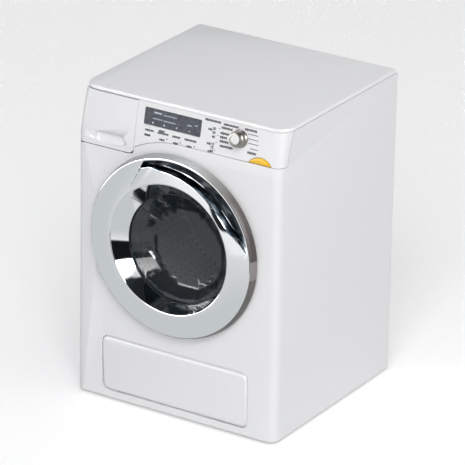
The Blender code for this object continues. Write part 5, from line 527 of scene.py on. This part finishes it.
def lathe(name, profile, steps, start=door_centre, sags=None, close=True):
    """Turns a section round the line through start along Y: profile gives (radius, how far behind start)."""
    clear_selection()
    radius, along = profile[0]
    drop = sags[0] if sags else 0.0
    centre = start + Vector((0.0, along, -drop))
    bpy.ops.mesh.primitive_circle_add(vertices=steps, radius=radius, location=centre, rotation=(math.pi / 2, 0, 0))
    piece = bpy.context.object
    piece.name = name
    bpy.ops.object.mode_set(mode="EDIT")
    bpy.ops.mesh.select_all(action="SELECT")
    for i, (next_radius, next_along) in enumerate(profile[1:], 1):
        next_drop = sags[i] if sags else 0.0
        step = Vector((0.0, next_along - along, drop - next_drop))
        bpy.ops.mesh.extrude_region_move(TRANSFORM_OT_translate={"value": step})
        centre = centre + step
        share = next_radius / radius
        bpy.ops.transform.resize(value=(share, 1.0, share), center_override=centre)
        radius, along, drop = next_radius, next_along, next_drop
    if close:
        bpy.ops.mesh.select_all(action="DESELECT")
        bpy.ops.mesh.select_mode(type="EDGE")
        bpy.ops.mesh.select_non_manifold(extend=False, use_boundary=True)
        bpy.ops.mesh.bridge_edge_loops()
    bpy.ops.object.mode_set(mode="OBJECT")
    bpy.ops.object.transform_apply(location=True, rotation=True, scale=True)
    return piece


bowl_steps = 160
flange = 0.0025


def bowl_face(rim_r, rim_depth, corner_r, corner_depth, bulge):
    """One face of the bowl: down the cone, round the corner and over the dish to its middle."""
    face = [(rim_r + (corner_r - rim_r) * i / 16, rim_depth + (corner_depth - rim_depth) * i / 16, 0.0)
            for i in range(11)]
    face.append((corner_r, corner_depth, 0.0030))
    face += [(corner_r * share, corner_depth + bulge * (1 - share ** 2), 0.0)
             for share in (0.78, 0.7, 0.55, 0.4, 0.2, 0.0000001)]
    return rounded(face)


bowl_profile = [(0.0500, flange), (0.0500, flange + 0.0016)] + bowl_face(0.0446, flange + 0.0016, 0.0326, 0.0180, 0.0032)
bowl_profile += bowl_face(0.0430, flange, 0.0310, 0.0172, 0.0024)[::-1]
bowl_sags = [0.0050 * min(max(along - flange, 0.0) / 0.0155, 1.0) for radius, along in bowl_profile]
bowl = lathe("window_bowl", bowl_profile, bowl_steps, sags=bowl_sags)
smooth(bowl, 35.0)
smoke, shader, wire = finish("smoke_clear", {"Alpha": 0.42, "IOR": 1.85, "Roughness": 0.01})
place = wire.node("ShaderNodeTexCoord", output="Object")
cloud = place.node("ShaderNodeTexNoise", {}, {"Vector": place, "Scale": 14.0, "Detail": 2.0})
feed(shader, "Base Color", cloud.blend((0.012, 0.022, 0.030), (0.016, 0.028, 0.038)))
bowl.data.transform(Matrix.Translation(window_drop))
bowl.data.materials.append(smoke)
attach(bowl, "door")
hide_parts("door_window")

gasket = lathe("rim_gasket", [(0.0496, 0.00115), (0.0496, 0.00235), (0.0448, 0.00235), (0.0444, 0.0016),
                              (0.0446, 0.00115)], 160)
smooth(gasket, 40.0)
gasket.data.transform(Matrix.Translation(window_drop))
black_rubber = moulded("gasket_rubber", (0.012, 0.012, 0.013), 0.45, skin=0.05, edge=0.0)
gasket.data.materials.append(black_rubber)
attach(gasket, "door")
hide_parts("window_gasket")

inner_grey = moulded("inner_grey", (0.30, 0.31, 0.325), 0.42)
frame_grey = moulded("frame_grey", (0.085, 0.090, 0.10), 0.42)
dressed("door_back_frame", frame_grey)
tongue_grey = moulded("tongue_grey", (0.60, 0.61, 0.62), 0.40)
for node in ("door_latch", "door_catch"):
    dressed(node, tongue_grey)


def turned_steel(name, colour=(0.60, 0.60, 0.62), roughness=0.28):
    """Plated steel with fine turning marks."""
    made, shader, wire = finish(name, {"Metallic": 1.0})
    place = wire.node("ShaderNodeTexCoord", output="Object")
    marks = place.node("ShaderNodeTexNoise", {}, {"Vector": place, "Scale": 1200.0, "Detail": 2.0})
    feed(shader, "Base Color", marks.blend(tuple(c * 0.86 for c in colour), colour))
    feed(shader, "Roughness", marks * 0.14 + (roughness - 0.07))
    feed(shader, "Normal", place.node("ShaderNodeBump", {}, {"Strength": 0.05, "Distance": 0.0001, "Height": marks}))
    return made


plain_steel = turned_steel("plain_steel")
dressed("door_hinge_pin", plain_steel, 50.0)

# The tub and drum: a grey two-part tub screwed to the housing, a folded grey seal round its mouth, and a
# turning drum with three lifting paddles and rows of small holes, drawn as dimples darkened by painted shade.

dressed("tub", inner_grey)
seal_grey = moulded("seal_grey", (0.060, 0.065, 0.075), 0.50)
for node in ("tub_front", "door_seal"):
    dressed(node, seal_grey)
drum_grey, shader, wire = finish("drum_grey", {"Metallic": 0.55, "IOR": 1.5})
place = wire.node("ShaderNodeTexCoord", output="Object")
cloud = place.node("ShaderNodeTexNoise", {}, {"Vector": place, "Scale": 40.0, "Detail": 3.0})
parts = place.node("ShaderNodeSeparateXYZ", {}, {0: place}, "X")
# The drum's holes are shallow dimples in the bump with painted shade: each is coloured darker than the drum round it.
turn = place.sum("ARCTAN2", parts.twin("Z") - 0.1475, parts) * 11.459
around = turn.sum("FRACT", turn + 20.5) - 0.5
back = parts.twin("Y") * 140.0
back = back.sum("FRACT", back + 20.0) - 0.5
hole_dimple_painted_shade = 1.0 - ((around * around + back * back) ** 0.5).rise(0.12, 0.20)
feed(shader, "Base Color", hole_dimple_painted_shade.blend(cloud.blend((0.46, 0.42, 0.39), (0.52, 0.475, 0.445)), (0.28, 0.255, 0.24)))
feed(shader, "Roughness", cloud * 0.15 + 0.30)
feed(shader, "Normal", place.node("ShaderNodeBump", {}, {"Strength": 0.25, "Distance": 0.0004,
                                                          "Height": 1.0 - hole_dimple_painted_shade}))
dressed("drum", drum_grey)
for node in ("tub_screw_1", "tub_screw_2", "tub_screw_3", "drum_shaft"):
    dressed(node, plain_steel)

# The drive: white nylon gears on a grey plate behind the tub, brass pinion and bush, steel motor can.

nylon = moulded("gear_nylon", (0.78, 0.77, 0.73), 0.50, skin=0.05, edge=0.0002)
for node in ("drum_gear", "reduction_gear"):
    dressed(node, nylon)
brass = turned_steel("turned_brass", (0.70, 0.53, 0.26), 0.30)
for node in ("motor_pinion", "shaft_bush"):
    dressed(node, brass)
dressed("gear_plate", inner_grey)
for node in ("reduction_pin", "drive_motor"):
    dressed(node, plain_steel)

# The controls: a dark glass-like display, a bright waisted dial with a white cap, and a yellow start key.
# The legends are short printed bars and plain numbers.

lean = math.radians(12.0)
panel_right = Vector((1.0, 0.0, 0.0))
panel_up = Vector((0.0, math.sin(lean), math.cos(lean)))
panel_out = Vector((0.0, -math.cos(lean), math.sin(lean)))


def on_panel(x, z, ahead=0.0):
    """A point over the leaning panel, by its place across and its height."""
    return Vector((x, -0.081 + math.tan(lean) * (z - 0.223), z)) + panel_out * ahead


screen, shader, wire = finish("display_dark", {"IOR": 1.5, "Coat Weight": 0.5, "Coat Roughness": 0.03})
place = wire.node("ShaderNodeTexCoord", output="Object")
cloud = place.node("ShaderNodeTexNoise", {}, {"Vector": place, "Scale": 500.0, "Detail": 2.0})
feed(shader, "Base Color", cloud.rise(0.35, 0.65).blend((0.030, 0.035, 0.048), (0.062, 0.070, 0.088)))
feed(shader, "Roughness", cloud * 0.1 + 0.18)
dressed("display_window", screen)


def print_ink(name, colour):
    """Pad-printed ink, a little patchy."""
    made, shader, wire = finish(name, {"Roughness": 0.5})
    place = wire.node("ShaderNodeTexCoord", output="Object")
    patchy = place.node("ShaderNodeTexNoise", {}, {"Vector": place, "Scale": 2500.0, "Detail": 2.0})
    feed(shader, "Base Color", patchy.blend(tuple(c * 0.85 for c in colour), colour))
    return made


def printed(name, marks, ink, ahead=0.00004, thick=0.00006):
    """Flat printed bars: each mark is (x, z, width, height) of its middle on the panel, in millimetres."""
    clear_selection()
    bpy.ops.mesh.primitive_cube_add(size=1.0)
    pattern = bpy.context.object
    over_panel = Matrix((panel_right, panel_up, panel_out)).transposed().to_4x4()
    made = []
    for x, z, wide, high in marks:
        bar = bpy.data.objects.new(name, pattern.data.copy())
        bpy.context.scene.collection.objects.link(bar)
        size = Matrix.Diagonal((wide * 0.001, high * 0.001, thick, 1.0))
        bar.data.transform(Matrix.Translation(on_panel(x * 0.001, z * 0.001, ahead)) @ over_panel @ size)
        made.append(bar)
    bpy.data.objects.remove(pattern, do_unlink=True)
    clear_selection()
    for bar in made:
        bar.select_set(True)
    bpy.context.view_layer.objects.active = made[0]
    bpy.ops.object.join()
    piece = bpy.context.object
    piece.name = name
    piece.data.materials.append(ink)
    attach(piece, "cabinet")
    return piece


def word_bars(left, right, z, high, gap=0.16):
    """A legend too small to read: a run of short upright blocks, their widths in a fixed rhythm."""
    widths = (0.85, 0.55, 1.05, 0.65, 0.90, 0.50, 0.70)
    marks = []
    place, turn = left, 0
    while place < right - 0.3:
        wide = min(widths[turn % len(widths)], right - place)
        marks.append((place + wide / 2, z + (0.08 if turn % 3 == 1 else 0.0), wide, high * (1.25 if turn % 4 == 2 else 1.0)))
        place += wide + gap
        turn += 1
    return marks


legend_ink = print_ink("legend_ink", (0.030, 0.032, 0.036))
grey_ink = print_ink("grey_ink", (0.16, 0.16, 0.18))
screen_ink = print_ink("screen_ink", (0.42, 0.45, 0.50))
bright_ink = print_ink("bright_ink", (0.62, 0.66, 0.72))

printed("display_lines", word_bars(-25.0, -18.0, 250.0, 1.1) + [(-24.9, 242.0, 1.2, 1.2), (-14.6, 242.0, 1.3, 1.2),
                                                                 (-3.4, 242.3, 1.2, 1.2)], bright_ink)
printed("display_segments", word_bars(-16.4, -4.0, 249.4, 0.8) + word_bars(-25.4, -17.0, 245.4, 0.9)
        + word_bars(-15.8, -4.5, 245.2, 0.9) + word_bars(5.7, 9.8, 246.4, 1.0) + word_bars(12.2, 15.3, 247.4, 0.8)
        + [(8.2, 242.2, 1.2, 1.0)], screen_ink)

key_words = []
for left, end, z in ((-31.1, -23.0, 235.7), (-19.8, -9.6, 235.6), (-18.9, -13.2, 237.2), (-6.3, 1.3, 235.5),
                     (4.8, 15.6, 235.6)):
    key_words += word_bars(left, end, z, 1.45)
for left, end, z in ((-17.5, -12.6, 230.9), (-4.9, -0.4, 230.8), (7.4, 12.0, 230.9)):
    key_words += word_bars(left, end, z - 0.1, 1.5)
key_words.append((-28.6, 231.9, 5.4, 1.7))
printed("key_legends", key_words, legend_ink)
printed("key_ticks", [(-10.8, 232.3, 1.1, 0.9), (1.7, 232.1, 1.1, 0.9), (14.3, 231.8, 1.3, 0.9)], grey_ink)

dial_words = word_bars(20.8, 35.3, 254.4, 1.6) + word_bars(37.6, 50.9, 253.9, 1.5)
for left, end, z in ((36.0, 46.3, 251.1), (35.7, 43.6, 246.9), (35.7, 42.0, 243.9), (35.9, 43.8, 240.8),
                     (36.4, 48.2, 237.3), (56.4, 67.5, 254.1), (61.2, 69.3, 237.4)):
    dial_words += word_bars(left, end, z, 1.6)
dial_words += word_bars(24.6, 28.6, 247.7, 1.5) + word_bars(24.8, 28.8, 236.9, 1.5) + word_bars(26.4, 29.0, 231.2, 1.4)
printed("dial_legends", dial_words, legend_ink)
dial_lines = [(64.3, 251.1, 9.4, 0.6), (65.0, 247.6, 9.2, 0.6), (65.6, 244.3, 8.8, 0.6), (66.5, 240.6, 7.0, 0.6)]
dial_lines += [(34.4, 249.8, 1.5, 0.5), (33.6, 244.6, 1.4, 0.5), (33.0, 239.0, 1.4, 0.5), (32.6, 233.2, 1.4, 0.5)]
printed("dial_ticks", dial_lines, grey_ink)


def printed_number(word, x, z, tall):
    """A plain number of the dial's scale, set upright on the panel."""
    clear_selection()
    bpy.ops.object.text_add()
    number = bpy.context.object
    number.data.body = word
    number.data.size = tall * 1.4
    number.data.align_x = "RIGHT"
    number.data.extrude = 0.00003
    number.data.offset = 0.00012
    bpy.ops.object.convert(target="MESH")
    number = bpy.context.object
    over_panel = Matrix((panel_right, panel_up, panel_out)).transposed().to_4x4()
    number.data.transform(Matrix.Translation(on_panel(x, z, 0.00004)) @ over_panel)
    number.name = "scale_" + word
    number.data.materials.clear()
    number.data.materials.append(legend_ink)
    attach(number, "cabinet")


for word, z in (("20", 0.2480), ("30", 0.2450), ("40", 0.2418), ("60", 0.2362), ("75", 0.2336), ("90", 0.2308)):
    printed_number(word, 0.0313, z, 0.0020)

knob_finish, shader, place, wiped, bright = plated("knob_finish", (0.36, 0.34, 0.32), 0.24, 0.36)
feed(shader, "Base Color", wiped.blend(tuple(c - 0.03 for c in bright), bright))
dial_place = on_panel(0.0536, 0.2463)


def on_dial(piece, body, stands_for):
    """Turns a piece lathed along Y to stand on the leaning panel at the dial, and sets what it rides on."""
    piece.data.transform(Matrix.Translation(dial_place) @ Matrix.Rotation(-lean, 4, "X"))
    smooth(piece, 32.0)
    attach(piece, body)
    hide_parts(stands_for)


knob_profile = [(0.0030, -0.0005), (0.0067, -0.0004), (0.0070, -0.0006), (0.0070, -0.0014), (0.00685, -0.0017),
                (0.0065, -0.0019), (0.0062, -0.0023), (0.00602, -0.0029), (0.0060, -0.0036), (0.0060, -0.0045),
                (0.00608, -0.0049), (0.0062, -0.0051), (0.0062, -0.0060), (0.00612, -0.0063), (0.0058, -0.0066),
                (0.00575, -0.0070), (0.0056, -0.0074), (0.0046, -0.0081), (0.0042, -0.0083), (0.0040, -0.0083),
                (0.00392, -0.0082), (0.00392, -0.0067), (0.0030, -0.0067)]
knob = lathe("knob_shell", knob_profile, 96, Vector((0.0, 0.0, 0.0)))
knob.data.materials.append(knob_finish)
on_dial(knob, "dial", "dial_knob")
cap_white = moulded("cap_white", (0.80, 0.80, 0.80), 0.25)
cap_profile = [(0.0000004, -0.0068), (0.0037, -0.0068), (0.0038, -0.0069), (0.0038, -0.0080), (0.0037, -0.0082),
               (0.0034, -0.0083), (0.0025, -0.0083), (0.0000004, -0.0082)]
cap = lathe("knob_cap", cap_profile, 96, Vector((0.0, 0.0, 0.0)))
cap.data.materials.append(cap_white)
on_dial(cap, "dial", "dial_cap")

start_yellow = moulded("start_yellow", (0.86, 0.50, 0.02), 0.28, coat=0.3, spread=0.03)
dressed("start_button", start_yellow, 50.0)
dark_plastic = moulded("dark_plastic", (0.045, 0.048, 0.055), 0.40)
for node in ("water_hopper", "rotary_switch", "start_switch"):
    dressed(node, dark_plastic)
board, shader, wire = finish("board_green", {"Roughness": 0.4})
place = wire.node("ShaderNodeTexCoord", output="Object")
tracks = place.node("ShaderNodeTexVoronoi", {"feature": "DISTANCE_TO_EDGE"}, {"Vector": place, "Scale": 380.0})
feed(shader, "Base Color", tracks.rise(0.02, 0.06).blend((0.10, 0.30, 0.12), (0.03, 0.16, 0.07)))
dressed("control_board", board)

# The rear: a screwed-on panel with a grille over a loudspeaker, a battery bay with three cells, sprung
# contacts and a screwed cover.

for node in ("battery_box", "speaker"):
    dressed(node, dark_plastic)
for number in range(1, 5):
    dressed(f"rear_screw_{number}", plain_steel)
for node in ("cover_screw", "contact_left", "contact_right"):
    dressed(node, plain_steel)
cell, shader, wire = finish("cell_wrap", {"Roughness": 0.3, "Metallic": 0.4})
place = wire.node("ShaderNodeTexCoord", output="Object")
band = place.node("ShaderNodeSeparateXYZ", {}, {0: place}, "X")
feed(shader, "Base Color", (band > -0.040).blend((0.05, 0.05, 0.055), (0.55, 0.50, 0.42)))
for number in range(1, 4):
    dressed(f"battery_{number}", cell)

# The drain: a spigot through the rear panel, a white tube that swings on it, and a soft hose inside.

dressed("drain_spigot", inner_grey)
dressed("drain_tube", housing_white)
hose_rubber = moulded("hose_rubber", (0.030, 0.030, 0.032), 0.60, skin=0.10, edge=0.0)
dressed("drain_hose", hose_rubber, 50.0)
